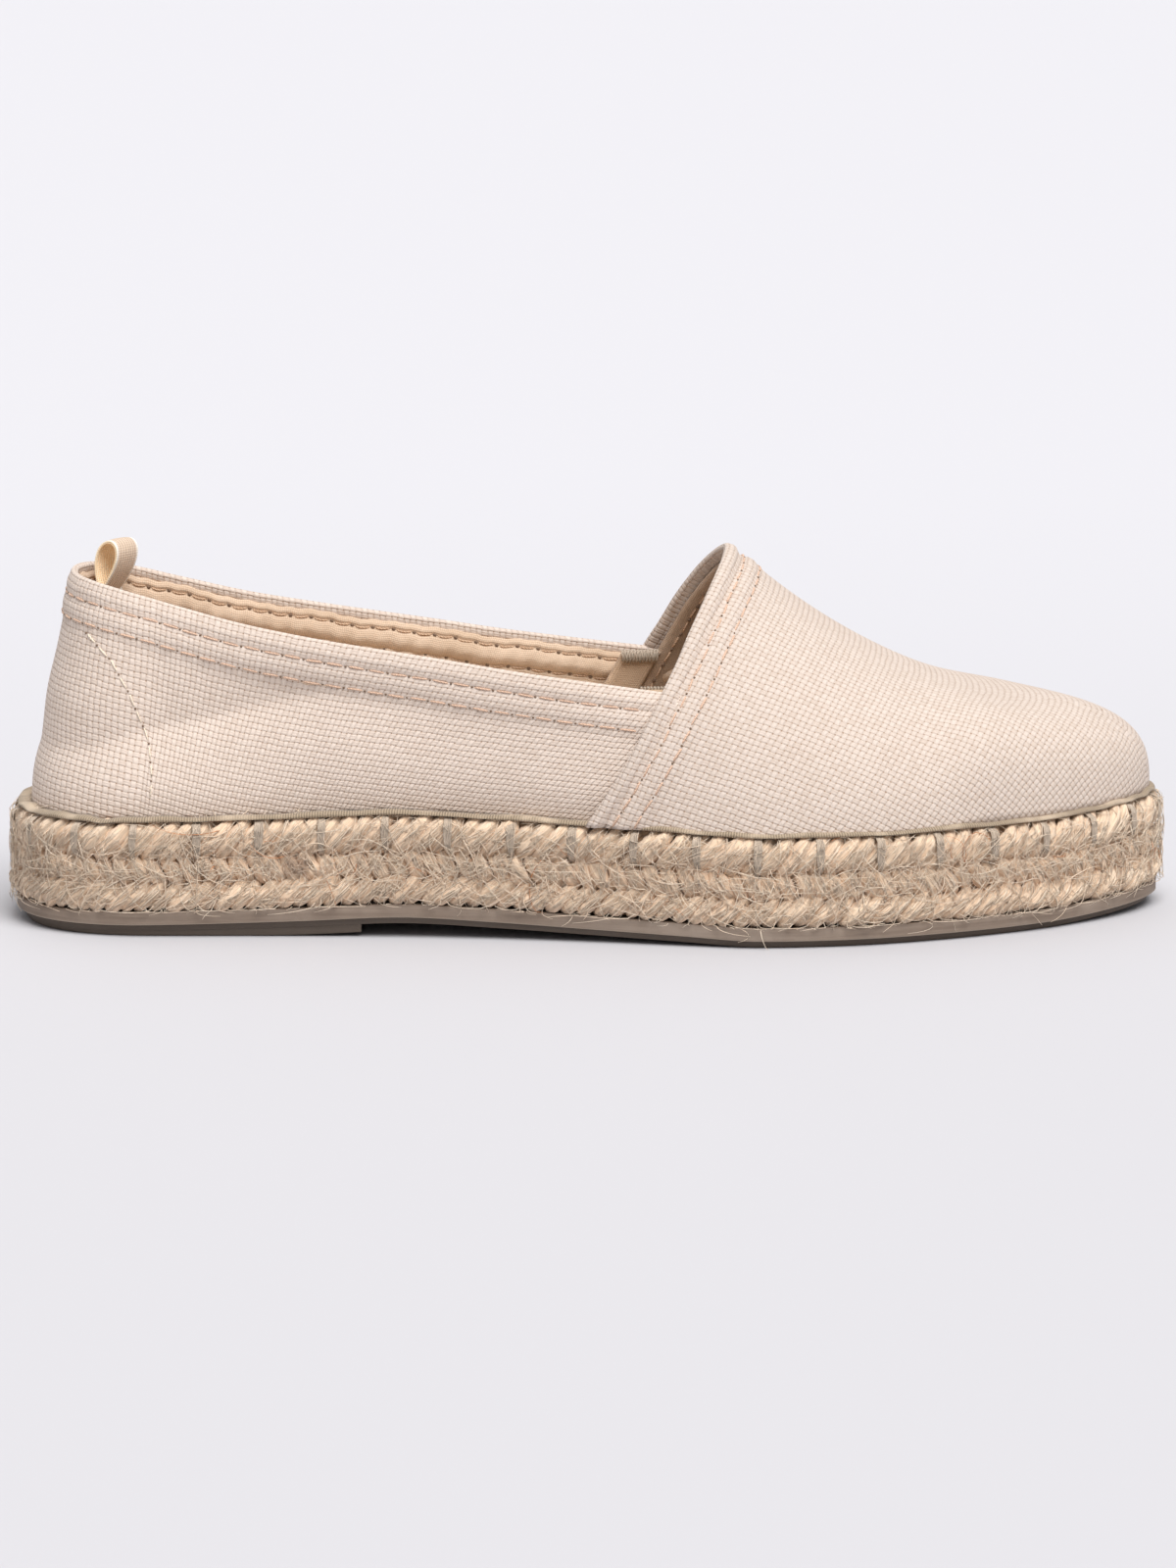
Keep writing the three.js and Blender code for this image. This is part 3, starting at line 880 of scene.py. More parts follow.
def weave_group():
    """A basket weave on a vector in millimetres. Height is 0 to 1; Gaps is 1 in the holes."""
    group = bpy.data.node_groups.new("basket weave", "ShaderNodeTree")
    interface = group.interface
    interface.new_socket("Vector", in_out="INPUT", socket_type="NodeSocketVector")
    for name, way in (("Pitch", "INPUT"), ("Wander", "INPUT"), ("Height", "OUTPUT"), ("Gaps", "OUTPUT")):
        interface.new_socket(name, in_out=way, socket_type="NodeSocketFloat")
    interface.new_socket("Thread", in_out="OUTPUT", socket_type="NodeSocketFloat")
    tree = Tree(group)
    given = group.nodes.new("NodeGroupInput").outputs
    result = group.nodes.new("NodeGroupOutput")
    drift = tree.new("TexNoise", Vector=given["Vector"], Scale=0.22, Detail=2.0).outputs["Color"]
    centred = tree.new("VectorMath", "SUBTRACT", i0=drift, i1=(0.5, 0.5, 0.5)).outputs[0]
    amount = tree.new("VectorMath", "SCALE", i0=centred, Scale=given["Wander"]).outputs[0]
    moved = tree.new("VectorMath", "ADD", i0=given["Vector"], i1=amount).outputs[0]
    parts = tree.new("SeparateXYZ", i0=moved)

    def wave(axis):
        turns = tree.maths("DIVIDE", parts.outputs[axis], given["Pitch"])
        return tree.maths("SINE", tree.times(turns, math.pi))

    along_wave, across_wave = wave("X"), wave("Y")
    along_size = tree.maths("ABSOLUTE", along_wave)
    across_size = tree.maths("ABSOLUTE", across_wave)
    parity = tree.maths("SIGN", tree.times(along_wave, across_wave))

    def thread(profile, lift, sign, fullness):
        """A doubled thread: round across, with a groove down its middle, over or under."""
        round_top = tree.maths("POWER", profile, fullness)
        groove = tree.times(tree.ramp(profile, 0.8, 1.0), 0.2)
        body = tree.maths("SUBTRACT", round_top, groove)
        rise = tree.times(parity, tree.maths("POWER", lift, 0.75))
        level = tree.maths("MULTIPLY_ADD", rise, 0.5 * sign, 0.5)
        return tree.times(body, level)

    warp = thread(along_size, across_size, 1.0, 0.75)
    weft = thread(across_size, along_size, -1.0, 0.45)
    height = tree.maths("MAXIMUM", warp, weft)
    corner = tree.maths("MAXIMUM", along_size, across_size)
    uneven = tree.new("TexNoise", Vector=moved, Scale=0.8, Detail=1.0).outputs["Fac"]
    open_corner = tree.maths("SUBTRACT", corner, tree.times(uneven, 0.32))
    gap = tree.maths("SUBTRACT", 1.0, tree.ramp(open_corner, 0.06, 0.32))
    pitches = tree.new("CombineXYZ", X=given["Pitch"], Y=given["Pitch"], Z=1.0).outputs[0]
    stretched = tree.new("VectorMath", "DIVIDE", i0=moved, i1=pitches).outputs[0]
    cell = tree.new("VectorMath", "FLOOR", i0=stretched).outputs[0]
    streak = tree.new("TexWhiteNoise", Vector=cell)
    tree.link(height, result.inputs["Height"])
    tree.link(gap, result.inputs["Gaps"])
    # Painted light: the cells where the warp lies on top are painted lighter; the rest of the tone differs at
    # random from cell to cell.
    warp_over = tree.maths("MULTIPLY_ADD", parity, 0.5, 0.5)
    tone = tree.maths("MULTIPLY_ADD", streak.outputs["Value"], 0.6, tree.times(warp_over, 0.4))
    tree.link(tone, result.inputs["Thread"])
    return group


BASKET_WEAVE = weave_group()


def woven(tree, uv, pitch, wander):
    """The weave's group, placed in a material."""
    node = tree.nodes.new("ShaderNodeGroup")
    node.node_tree = BASKET_WEAVE
    tree.link(uv, node.inputs["Vector"])
    node.inputs["Pitch"].default_value = pitch
    node.inputs["Wander"].default_value = wander
    return node


def canvas_material(name, light, shade):
    material, tree, shader = new_material(name, 0.9, 0.12, 0.12)
    uv = tree.uv()
    place = tree.place()
    weave = woven(tree, uv, WEAVE_PITCH, 0.6)
    blotch = tree.noise(place, 38, 4, 0.6)
    slub = tree.noise(tree.scaled(uv, (0.09, 1.1, 1)), 1.0, 3, 0.6)
    lint = tree.noise(place, 1900, 2, 0.6)
    # Painted light: the raised parts of the weave are painted lighter and the low parts darker.
    lit = tree.times(weave.outputs["Height"], 0.6)
    tone = tree.maths("MULTIPLY_ADD", weave.outputs["Thread"], 0.4, lit)
    cloth = tree.mixed(tree.ramp(tone, 0.1, 0.85), shade, light)
    slubbed = tree.mixed(tree.times(tree.ramp(slub, 0.5, 0.75), 0.25), cloth, shade)
    worn = tree.mixed(tree.times(tree.ramp(blotch, 0.5, 0.8), 0.14), slubbed, shade)
    # Partly painted shade: the gaps take the backing's tan, darkened as shade in the holes.
    colour = tree.mixed(tree.times(weave.outputs["Gaps"], 0.92), worn, CANVAS_GAP_SHADED)
    tree.link(colour, shader.inputs["Base Color"])
    fine = tree.maths("MULTIPLY_ADD", lint, 0.18, weave.outputs["Height"])
    tree.bumped(shader, fine, 0.3)
    return material


# --- Quarters -------------------------------------------------------------------------------
# One strip of canvas round the heel, its ends under the toe part. The top edge is folded in and
# sewn down twice. The cloth is soft, with a few shallow hollows.
HEM = 9.2  # the folded edge's width
STITCH_ROWS = (4.0, 8.6)  # below the edge
FOLD_RADIUS = 0.85
QUARTER_TURN_IN = (4.2, 2.6, 1.2)  # how far the folded edge goes down inside
FLARE = 0.8  # how far the topline leans out from the last
UNDERLAP = 9
WARP_LEAN = math.radians(17)  # the upright threads lean forward towards the toe part
# Painted light: the quarters' canvas is painted lighter than the toe part's, though it is the same cloth, to
# make up for the less light on the upright sides.
QUARTER_LIGHT = (0.735, 0.62, 0.535)
QUARTER_SHADE = (0.595, 0.475, 0.39)
QUARTER_COLUMNS = 330
QUARTER_ROWS = 46
# Soft creases in the quarters: a line of places (from the heel, height), its depth, and how far
# it reaches above and below the line
CREASES = [
    {
        "line": [(3, 38.5), (14, 40), (29.5, 44.6), (45, 47.6), (57, 51), (72, 54.5), (100, 52), (135, 47)],
        "depth": [1.6, 3.2, 4.2, 4.1, 3.3, 2.2, 0.9, 0.3],
        "above": 11,
        "below": 14,
        "sharp": 1.15,
    },
    {
        "line": [(-5, 24.6), (30, 25.8), (70, 26.3), (110, 25.3), (140, 24.3)],
        "depth": [0.8, 1.6, 2.1, 1.9, 1.1],
        "above": 6,
        "below": 6,
        "sharp": 1.5,
    },
    {"line": [(22, 64), (34, 52), (38, 40)], "depth": [0.3, 0.4, 0.3], "above": 12, "below": 12, "sharp": 2},
]


def soft_folds(points):
    """How far the cloth stands off the last, from the table of creases."""
    rise = np.zeros(points.shape[:-1])
    from_heel = points[..., 0] + LENGTH / 2
    for crease in CREASES:
        line = np.array(crease["line"], float)
        level = np.interp(from_heel, line[:, 0], line[:, 1])
        depth = np.interp(from_heel, line[:, 0], crease["depth"])
        gap = points[..., 2] - level
        reach = np.where(gap > 0, crease["above"], crease["below"])
        rise -= depth * np.exp(-(np.abs(gap / reach) ** crease["sharp"]))
    height = points[..., 2]
    rise += 0.16 * np.sin(from_heel * 0.11 + height * 0.23) * np.cos(height * 0.17 - from_heel * 0.05)
    return rise


def quarter_grid(rows_down, columns):
    """Points of the quarters on the last. rows_down are shares from the topline (0) to the rim
    (1); the columns run round the heel from one underlap to the other."""
    share = np.linspace(-1, 1, columns)
    sides = np.where(share < 0, -1, 1)
    points = np.zeros((len(rows_down), columns, 3))
    for k, down in enumerate(rows_down):
        front = np.full(columns, 1.45)
        for _ in range(7):
            turn = sides * front
            point = quarter_point(turn, down)
            at = np.clip((back_edge(point) + UNDERLAP) / LENGTH + 0.5, 0.05, 0.95)
            front = np.arccos(1 - 2 * at)
        turn = share * front
        points[k] = quarter_point(turn, down)
    return points


def quarter_point(turn, down):
    """The point at a share of the way down from the topline to the rim."""
    at = (1 - np.cos(turn)) / 2
    low = jute_top(at) + GAP
    point = form_at_height(turn, np.full(turn.shape, 60.0))
    for _ in range(4):
        top = along(TOPLINE_ROWS, "height", point[..., 0] + LENGTH / 2) - FOLD_RADIUS
        point = form_at_height(turn, top)
    height = top + (low - top) * down
    return form_at_height(turn, height)


def collar_flare(down):
    return FLARE * np.exp(-down / 6)


def lengths_down(points):
    steps = np.linalg.norm(np.diff(points, axis=0), axis=2)
    return np.concatenate([np.zeros((1, points.shape[1])), np.cumsum(steps, axis=0)])


def cloth_solid(piece, thickness):
    """The cloth's own thickness, inwards from the face."""
    return with_modifier(piece, "SOLIDIFY", thickness=thickness * MM, offset=-1, use_even_offset=False)


def make_quarters():
    fine = np.linspace(0, 1, QUARTER_ROWS) ** 1.25
    base = quarter_grid(fine, QUARTER_COLUMNS)
    normal = -grid_normals(base)
    down = lengths_down(base)
    widest = np.argmin(np.abs(down[:, QUARTER_COLUMNS // 2] - 6))
    run = lengths_along(base[widest])
    rise = soft_folds(base) * np.clip((down - 2) / 9, 0, 1) + collar_flare(down)
    rise += 0.5 * step_down(down, HEM, 0.25)
    rise += 0.2 * bump_at(down, 6.3, 1.5) + 0.15 * bump_at(down, 2.0, 1.0)
    for row in STITCH_ROWS:
        rise -= 0.3 * bump_at(down, row, 0.45)
    rise -= 0.25 * bump_at(down, 0, 1.0)
    outer = base + normal * rise[..., None]
    angles = np.linspace(math.pi, 0, 7)[:-1]
    upward = base[0] - base[1]
    upward /= np.linalg.norm(upward, axis=1)[:, None]
    rolled = []
    for angle in angles:
        over = upward * FOLD_RADIUS * math.sin(angle)
        inside = normal[0] * FOLD_RADIUS * (math.cos(angle) - 1)
        rolled.append(outer[0] + over + inside)
    turned_in = [rolled[0] - upward * distance for distance in QUARTER_TURN_IN]
    stack = np.array(turned_in + rolled + list(outer))
    above = [-(distance + math.pi * FOLD_RADIUS) for distance in QUARTER_TURN_IN]
    above = np.array(above + [-angle * FOLD_RADIUS for angle in angles])
    v = np.concatenate([np.repeat(above[:, None], QUARTER_COLUMNS, 1), down])
    middle = run[-1] / 2
    lean = np.clip((np.abs(run - middle) - 30) / 70, 0, 1) * math.tan(WARP_LEAN) * np.sign(run - middle)
    u = run + v * lean
    pattern = np.stack([u, v], -1)
    piece = panel("quarters", stack, pattern, flip=True)
    smooth(cloth_solid(piece, CANVAS))
    paint = canvas_material("canvas of the quarters, painted lighter", QUARTER_LIGHT, QUARTER_SHADE)
    finish_piece(piece, paint, "canvas", "upper")
    return base, normal, down, rise


QUARTERS, QUARTER_OUT, QUARTER_DOWN, QUARTER_RISE = make_quarters()


# --- Toe part -------------------------------------------------------------------------------
# One piece of canvas from the throat to the toe tip, lapped over the quarters. Its back edge is
# folded under and sewn twice. Its threads follow the slope of the instep.
# Painted shade: the toe part's canvas is painted darker than the quarters', the same cloth, as the top of the
# toe gets more light.
TOE_LIGHT = (0.665, 0.565, 0.492)
TOE_SHADE = (0.55, 0.44, 0.36)
VAMP_COLUMNS = 170
VAMP_HALF_ROWS = 60
INSTEP_SLOPE = math.radians(19)
LAP_STEP = 1.6  # how far the lapped edge stands off the quarters
CROWN_STEP = 0.3  # and off the last over the instep, where no quarter lies beneath
VAMP_ROWS = (3.9, 7.9)
LAP_ROLL = 1.05
CLOTH_SHEAR = math.radians(8)  # lasting pulls the cloth down and back on both sides
SHEAR_ROUNDING = 200  # square mm: the shear begins softly at the crown line
TIP_REACH = 18  # the pattern is evened this far round the toe tip
TIP_RING = (14, 30)  # from the cloth between these distances
TURN_UNDER = (3.4, 2.0, 1.0)  # rows of the folded edge, by distance in from the fold


def vamp_grid():
    """Rows from the outer rim over the crown to the inner rim; columns from the back edge to the
    toe tip."""
    share = np.linspace(0, 1, VAMP_COLUMNS) ** 1.12
    rows = []
    for side in (1, -1):
        half = []
        for level in np.linspace(0, 1, VAMP_HALF_ROWS + 1):
            angle = level * math.pi / 2
            first = 1.7
            for _ in range(12):
                point = vamp_point(np.array([side * first]), angle)[0]
                at = back_edge(point) / LENGTH + 0.5
                first = float(np.arccos(1 - 2 * at))
            turn = side * (first + (math.pi - first) * share)
            half.append(vamp_point(turn, angle))
        rows.append(np.array(half))
    return np.concatenate([rows[0], rows[1][-2::-1]])


def vamp_point(turn, angle):
    at = (1 - np.cos(turn)) / 2
    fullness = along(LAST_ROWS, "fullness", np.clip(at, HEEL_POLE, TOE_POLE))
    up = np.sin(angle) ** (2 / fullness)
    return form(turn, up)


def distance_to(points, line):
    """The distance from each point to the nearest point of a line."""
    flat = points.reshape(-1, 3)
    best = np.full(len(flat), 1e9)
    for spot in line:
        best = np.minimum(best, ((flat - spot) ** 2).sum(1))
    return np.sqrt(best).reshape(points.shape[:-1])


def densified(line, step=0.4):
    lengths = lengths_along(line)
    wanted = np.arange(0, lengths[-1], step)
    return np.stack([np.interp(wanted, lengths, line[:, k]) for k in range(3)], 1)


def vamp_pattern(points, half):
    """UV in millimetres: u along the instep's slope, v away from the crown line."""
    slope = np.array([math.cos(INSTEP_SLOPE), 0, -math.sin(INSTEP_SLOPE)])
    u = np.zeros(points.shape[:2])
    v = np.zeros(points.shape[:2])
    u[half] = points[half] @ slope
    for sign, order in ((-1, range(half - 1, -1, -1)), (1, range(half + 1, len(points)))):
        for j in order:
            before = j - sign
            step = points[j] - points[before]
            reach = points[j] - points[half]
            fan = np.clip(np.abs(reach[:, 1]) / (np.linalg.norm(reach[:, :2], axis=1) + 1e-6), 0, 1)
            size = np.linalg.norm(step, axis=1)
            lengthwise = step @ slope
            across = np.sqrt(np.maximum(size**2 - lengthwise**2, 0))
            u[j] = u[before] + fan * lengthwise + np.sqrt(1 - fan**2) * size
            v[j] = v[before] + sign * fan * across
    return np.stack([u, v], -1)


LINKS = [
    (np.s_[:, :-1], np.s_[:, 1:]),
    (np.s_[:-1, :], np.s_[1:, :]),
    (np.s_[:-1, :-1], np.s_[1:, 1:]),
    (np.s_[:-1, 1:], np.s_[1:, :-1]),
]


def relaxed(points, flat, rounds):
    """Moves the flat pattern until its points lie as far apart as they do on the last. The last
    column runs down the toe tip on both sides, so its two halves are kept together."""
    rests = [np.linalg.norm(points[b] - points[a], axis=-1) for a, b in LINKS]
    flat = flat.copy()
    speed = np.zeros_like(flat)
    for _ in range(rounds):
        move, count = np.zeros_like(flat), np.zeros(flat.shape[:2])
        for (a, b), rest in zip(LINKS, rests):
            step = flat[b] - flat[a]
            size = np.linalg.norm(step, axis=-1) + 1e-9
            push = step * (0.5 * (size - rest) / size)[..., None]
            move[a] += push
            move[b] -= push
            count[a] += 1
            count[b] += 1
        speed = 0.9 * speed + move / count[..., None]
        speed[:, -1] = (speed[:, -1] + speed[::-1, -1]) / 2
        flat += speed
        flat[:, -1] = (flat[:, -1] + flat[::-1, -1]) / 2
    return flat


def evened_at_tip(points, flat):
    """The grid's rows run together at the toe tip. There the pattern is a smooth surface fitted
    through the cloth round it."""
    spot = points - points[VAMP_HALF_ROWS, -1]
    away = np.linalg.norm(spot, axis=-1)
    axes = np.linalg.svd(spot[away < TIP_RING[0]], full_matrices=False)[2][:2]
    u, v = np.moveaxis(spot @ axes.T / 10, -1, 0)
    terms = np.stack([u**i * v**k for i in range(4) for k in range(4 - i)], -1)
    ring = (away > TIP_RING[0]) & (away < TIP_RING[1])
    fitted = terms @ np.linalg.lstsq(terms[ring], flat[ring], rcond=None)[0]
    return flat + (fitted - flat) * step_down(away, TIP_REACH, 1.5)[..., None]


def laid_flat(points, guess, every=5):
    """The cloth's flat pattern: relaxed on every fifth thread first, then on all of them."""
    rows = np.arange(0, points.shape[0], every)
    columns = np.unique(np.append(np.arange(0, points.shape[1], every), points.shape[1] - 1))
    coarse = np.ix_(rows, columns)
    shift = relaxed(points[coarse], guess[coarse], 900) - guess[coarse]
    along_rows = np.stack(
        [[np.interp(np.arange(points.shape[1]), columns, line[:, k]) for line in shift] for k in (0, 1)], -1
    )
    full = np.empty_like(guess)
    for k in (0, 1):
        for column in range(points.shape[1]):
            full[:, column, k] = np.interp(np.arange(points.shape[0]), rows, along_rows[:, column, k])
    return evened_at_tip(points, relaxed(points, guess + full, 260))


def make_vamp():
    base = vamp_grid()
    half = VAMP_HALF_ROWS
    normal = grid_normals(base)
    if normal[half, 5, 2] < 0:
        normal = -normal
    edge = base[:, 0]
    gap = distance_to(base, densified(edge))
    lapped = step_down(edge[:, 2], 55, 2.5)[:, None]
    stand = CROWN_STEP + (LAP_STEP - CROWN_STEP) * lapped
    rise = 0.12 + (stand - 0.12) * (1 - np.clip((gap - 8) / 9, 0, 1)) ** 2
    rise += (0.25 + 0.3 * lapped) * step_down(gap, 8.9, 0.3)
    rise += (0.5 + 0.4 * lapped) * bump_at(gap, 0.9, 0.85) + 0.35 * bump_at(gap, 5.9, 1.3)
    rise -= 0.75 * bump_at(gap, 2.7, 0.5)
    for row in VAMP_ROWS:
        rise -= 0.36 * bump_at(gap, row, 0.5)
    outer = base + normal * rise[..., None]
    pattern = laid_flat(base, vamp_pattern(base, half))
    from_crown = np.sqrt(pattern[..., 1] ** 2 + SHEAR_ROUNDING) - math.sqrt(SHEAR_ROUNDING)
    pattern[..., 0] += math.tan(CLOTH_SHEAR) * from_crown
    backward = base[:, 0] - base[:, 1]
    backward /= np.linalg.norm(backward, axis=1)[:, None]
    under = outer[:, 0] - normal[:, 0] * 2 * LAP_ROLL
    folded = [under - backward * distance for distance in TURN_UNDER]
    angles = np.linspace(math.pi, 0, 7)[:-1]
    for angle in angles:
        over = backward * LAP_ROLL * math.sin(angle)
        folded.append(outer[:, 0] + over + normal[:, 0] * LAP_ROLL * (math.cos(angle) - 1))
    stack = np.concatenate([np.stack(folded, 1), outer], 1)
    before = [-(distance + 2.5) for distance in TURN_UNDER] + [-angle * LAP_ROLL for angle in angles]
    lead = np.repeat(pattern[:, :1], len(folded), 1)
    lead[..., 0] += np.array(before)[None]
    threads = np.concatenate([lead, pattern], 1)
    piece = join([panel("toe_part", stack, threads)], 0.004)
    edit_all(piece, bpy.ops.mesh.normals_make_consistent, inside=False)
    smooth(cloth_solid(piece, CANVAS))
    paint = canvas_material("canvas of the toe part, painted darker", TOE_LIGHT, TOE_SHADE)
    finish_piece(piece, paint, "canvas")
    return base, normal, gap, rise


TOE_PART, TOE_OUT, TOE_GAP, TOE_RISE = make_vamp()


# --- Stitching of the upper -----------------------------------------------------------------
# Thin peach thread in two rows along the topline and two along the lapped edge, and a single
# cream row round the heel stiffener. The thread dips into a needle hole at both ends.
THREAD = 0.21
SHADED_HOLE_TONE = 2.0  # marks the needle holes, which thread_material paints dark as painted shade
TOPLINE_STITCH = 4.6
LAP_STITCH = 4.2
COUNTER_STITCH = 4.1
COUNTER_LINE = [(17.0, 63.9), (22.5, 58.6), (26.1, 52.4), (28.7, 46.2), (30.6, 41.4), (31.2, 35), (31, 29)]


def at_distance(points, distance, wanted):
    """Where each column's distance reaches the wanted value."""
    spots = np.empty((points.shape[1], 3))
    wanted = np.broadcast_to(wanted, points.shape[1])
    for k in range(points.shape[1]):
        order = np.argsort(distance[:, k])
        for axis in range(3):
            spots[k, axis] = np.interp(wanted[k], distance[order, k], points[order, k, axis])
    return spots


def sew(pile, line, out, length, gap=0.6, radius=THREAD, sink=0.04, hole=0.25, wobble=0.12):
    """A row of stitches along a line on the cloth, with a hole at each end painted dark as shade."""
    lengths = lengths_along(line)
    count = int(lengths[-1] // length)
    share = np.linspace(0, 1, 7)

    def on_line(distance):
        place = np.stack([np.interp(distance, lengths, line[:, k]) for k in range(3)], -1)
        normal = np.stack([np.interp(distance, lengths, out[:, k]) for k in range(3)], -1)
        return place, normal

    for n in range(count):
        start = n * length + gap / 2 + random.uniform(-0.15, 0.15)
        distance = start + share * (length - gap)
        place, normal = on_line(distance)
        run = place[-1] - place[0]
        side = np.cross(normal[3], run / np.linalg.norm(run))
        stand = radius * 0.9 - sink - 0.55 * np.abs(2 * share - 1) ** 4
        path = place + normal * stand[:, None]
        ends = random.uniform(-wobble, wobble), random.uniform(-wobble, wobble)
        path += side * np.linspace(*ends, 7)[:, None]
        pile.tube(path, radius * random.uniform(0.85, 1.15), random.random(), shift=random.uniform(0, 50))
        spot, up = on_line(np.array([n * length]))
        along_line = run / np.linalg.norm(run) * hole
        dip = spot + np.stack([-along_line, -0.5 * along_line, along_line * 0.5, along_line])
        widths = np.array([0.3, 1.0, 1.0, 0.3]) * hole * random.uniform(0.7, 1.1)
        pile.tube(dip + up * 0.02, widths, SHADED_HOLE_TONE)


def thread_material(name, light, shade):
    material, tree, shader = new_material(name, 0.6, 0.3, 0.1)
    uv = tree.uv()
    tone = tree.new("Attribute")
    tone.attribute_name = "tone"
    twist = tree.new("TexWave", Vector=uv, Scale=0.9, Distortion=0.6, Detail=1.0)
    twist.bands_direction = "DIAGONAL"
    base = tree.mixed(twist.outputs["Fac"], shade, light)
    # Painted shade: the needle holes are painted dark brown.
    hole = tree.ramp(tone.outputs["Fac"], 1.4, 1.6)
    tree.link(tree.mixed(hole, base, (0.2, 0.125, 0.08)), shader.inputs["Base Color"])
    tree.bumped(shader, twist.outputs["Fac"], 0.08, 0.8)
    return material


def quarter_line(field, down):
    """The quarters' field along a line at a distance below the topline."""
    return at_distance(field, QUARTER_DOWN, down)


def toe_line(field, gap):
    """The toe part's field along a line at a distance from its back edge."""
    return at_distance(np.swapaxes(field, 0, 1), np.swapaxes(TOE_GAP, 0, 1), gap)


def make_stitching():
    random.seed(23)
    peach = Pile()
    face = QUARTERS + QUARTER_OUT * QUARTER_RISE[..., None]
    for down in STITCH_ROWS:
        sew(peach, quarter_line(face, down)[8:-8], quarter_line(QUARTER_OUT, down)[8:-8], TOPLINE_STITCH)
    toe_face = TOE_PART + TOE_OUT * TOE_RISE[..., None]
    for gap in VAMP_ROWS:
        sew(peach, toe_line(toe_face, gap), toe_line(TOE_OUT, gap), LAP_STITCH, wobble=0.25)
    finish_piece(
        peach.build("edge_stitching"),
        thread_material("peach thread", (0.78, 0.55, 0.41), (0.58, 0.37, 0.255)),
        "tape",
    )
    cream = Pile()
    knots = np.array(COUNTER_LINE, float)
    steps = np.concatenate([[0], np.cumsum(np.hypot(*np.diff(knots, axis=0).T))])
    wanted = np.linspace(0, steps[-1], 60)
    line = np.stack([np.interp(wanted, steps, knots[:, k]) for k in (0, 1)], 1) - (LENGTH / 2, 0)
    for sign in (-1, 1):
        middle = face.shape[1] // 2
        half = np.s_[:, middle:] if sign < 0 else np.s_[:, : middle + 1]
        spots, outs = face[half].reshape(-1, 3), QUARTER_OUT[half].reshape(-1, 3)
        nearest = [np.argsort(((spots[:, (0, 2)] - spot) ** 2).sum(1))[:4] for spot in line]
        place = np.array([spots[k].mean(0) for k in nearest])
        place[:, 0], place[:, 2] = line[:, 0], line[:, 1]
        out = np.array([outs[k].mean(0) for k in nearest])
        kernel = np.ones(5) / 5
        place[2:-2, 1] = np.convolve(place[:, 1], kernel, "valid")
        sew(cream, place, out, COUNTER_STITCH, gap=0.9, radius=0.2, hole=0.26)
    finish_piece(
        cream.build("heel_stiffener_stitching"),
        thread_material("cream thread", (0.93, 0.82, 0.68), (0.74, 0.6, 0.45)),
        "tape",
    )


make_stitching()


# --- Inside of the upper --------------------------------------------------------------------
# A plain tan cotton lining. A soft folded tape covers the edge of the lining under the topline
# and is sewn along both sides, so it puffs between its two rows.
LINING_PITCH = 0.42
LINING_DEPTH = 1.75
TAPE_FROM, TAPE_TO = 0.9, 9.0
TAPE_ROWS = (2.6, 7.4)
TAPE_STEPS = 26  # across its width
TAPE_STITCH = 4.6


def lining_material(name, light, shade):
    material, tree, shader = new_material(name, 0.92, 0.1, 0.15)
    place = tree.place()
    weave = woven(tree, tree.uv(), LINING_PITCH, 0.8)
    pucker = tree.noise(place, 190, 3, 0.5)
    blotch = tree.noise(place, 45, 4, 0.6)
    # Painted light: the raised threads of the weave are painted a little lighter and the low ones darker; the
    # blotches differ at random.
    tone = tree.maths("MULTIPLY_ADD", blotch, 0.7, tree.times(weave.outputs["Height"], 0.4))
    tree.link(tree.mixed(tree.ramp(tone, 0.3, 0.85), shade, light), shader.inputs["Base Color"])
    height = tree.maths("MULTIPLY_ADD", pucker, 2.5, tree.times(weave.outputs["Height"], 0.4))
    tree.bumped(shader, height, 0.4, 0.8)
    return material


def strip_points(face, wanted, depth):
    """Rows at wanted distances below the topline, each set in from the face by its depth."""
    out = [quarter_line(QUARTER_OUT, down) * inward for down, inward in zip(wanted, depth)]
    return np.array([quarter_line(face, down) - inward for down, inward in zip(wanted, out)])


def toe_lining_inset(gap):
    """How far the toe lining lies in from the last, and further where the canvas is turned under."""
    return 2.0 + 1.3 * step_down(gap, 5.5, 0.9)


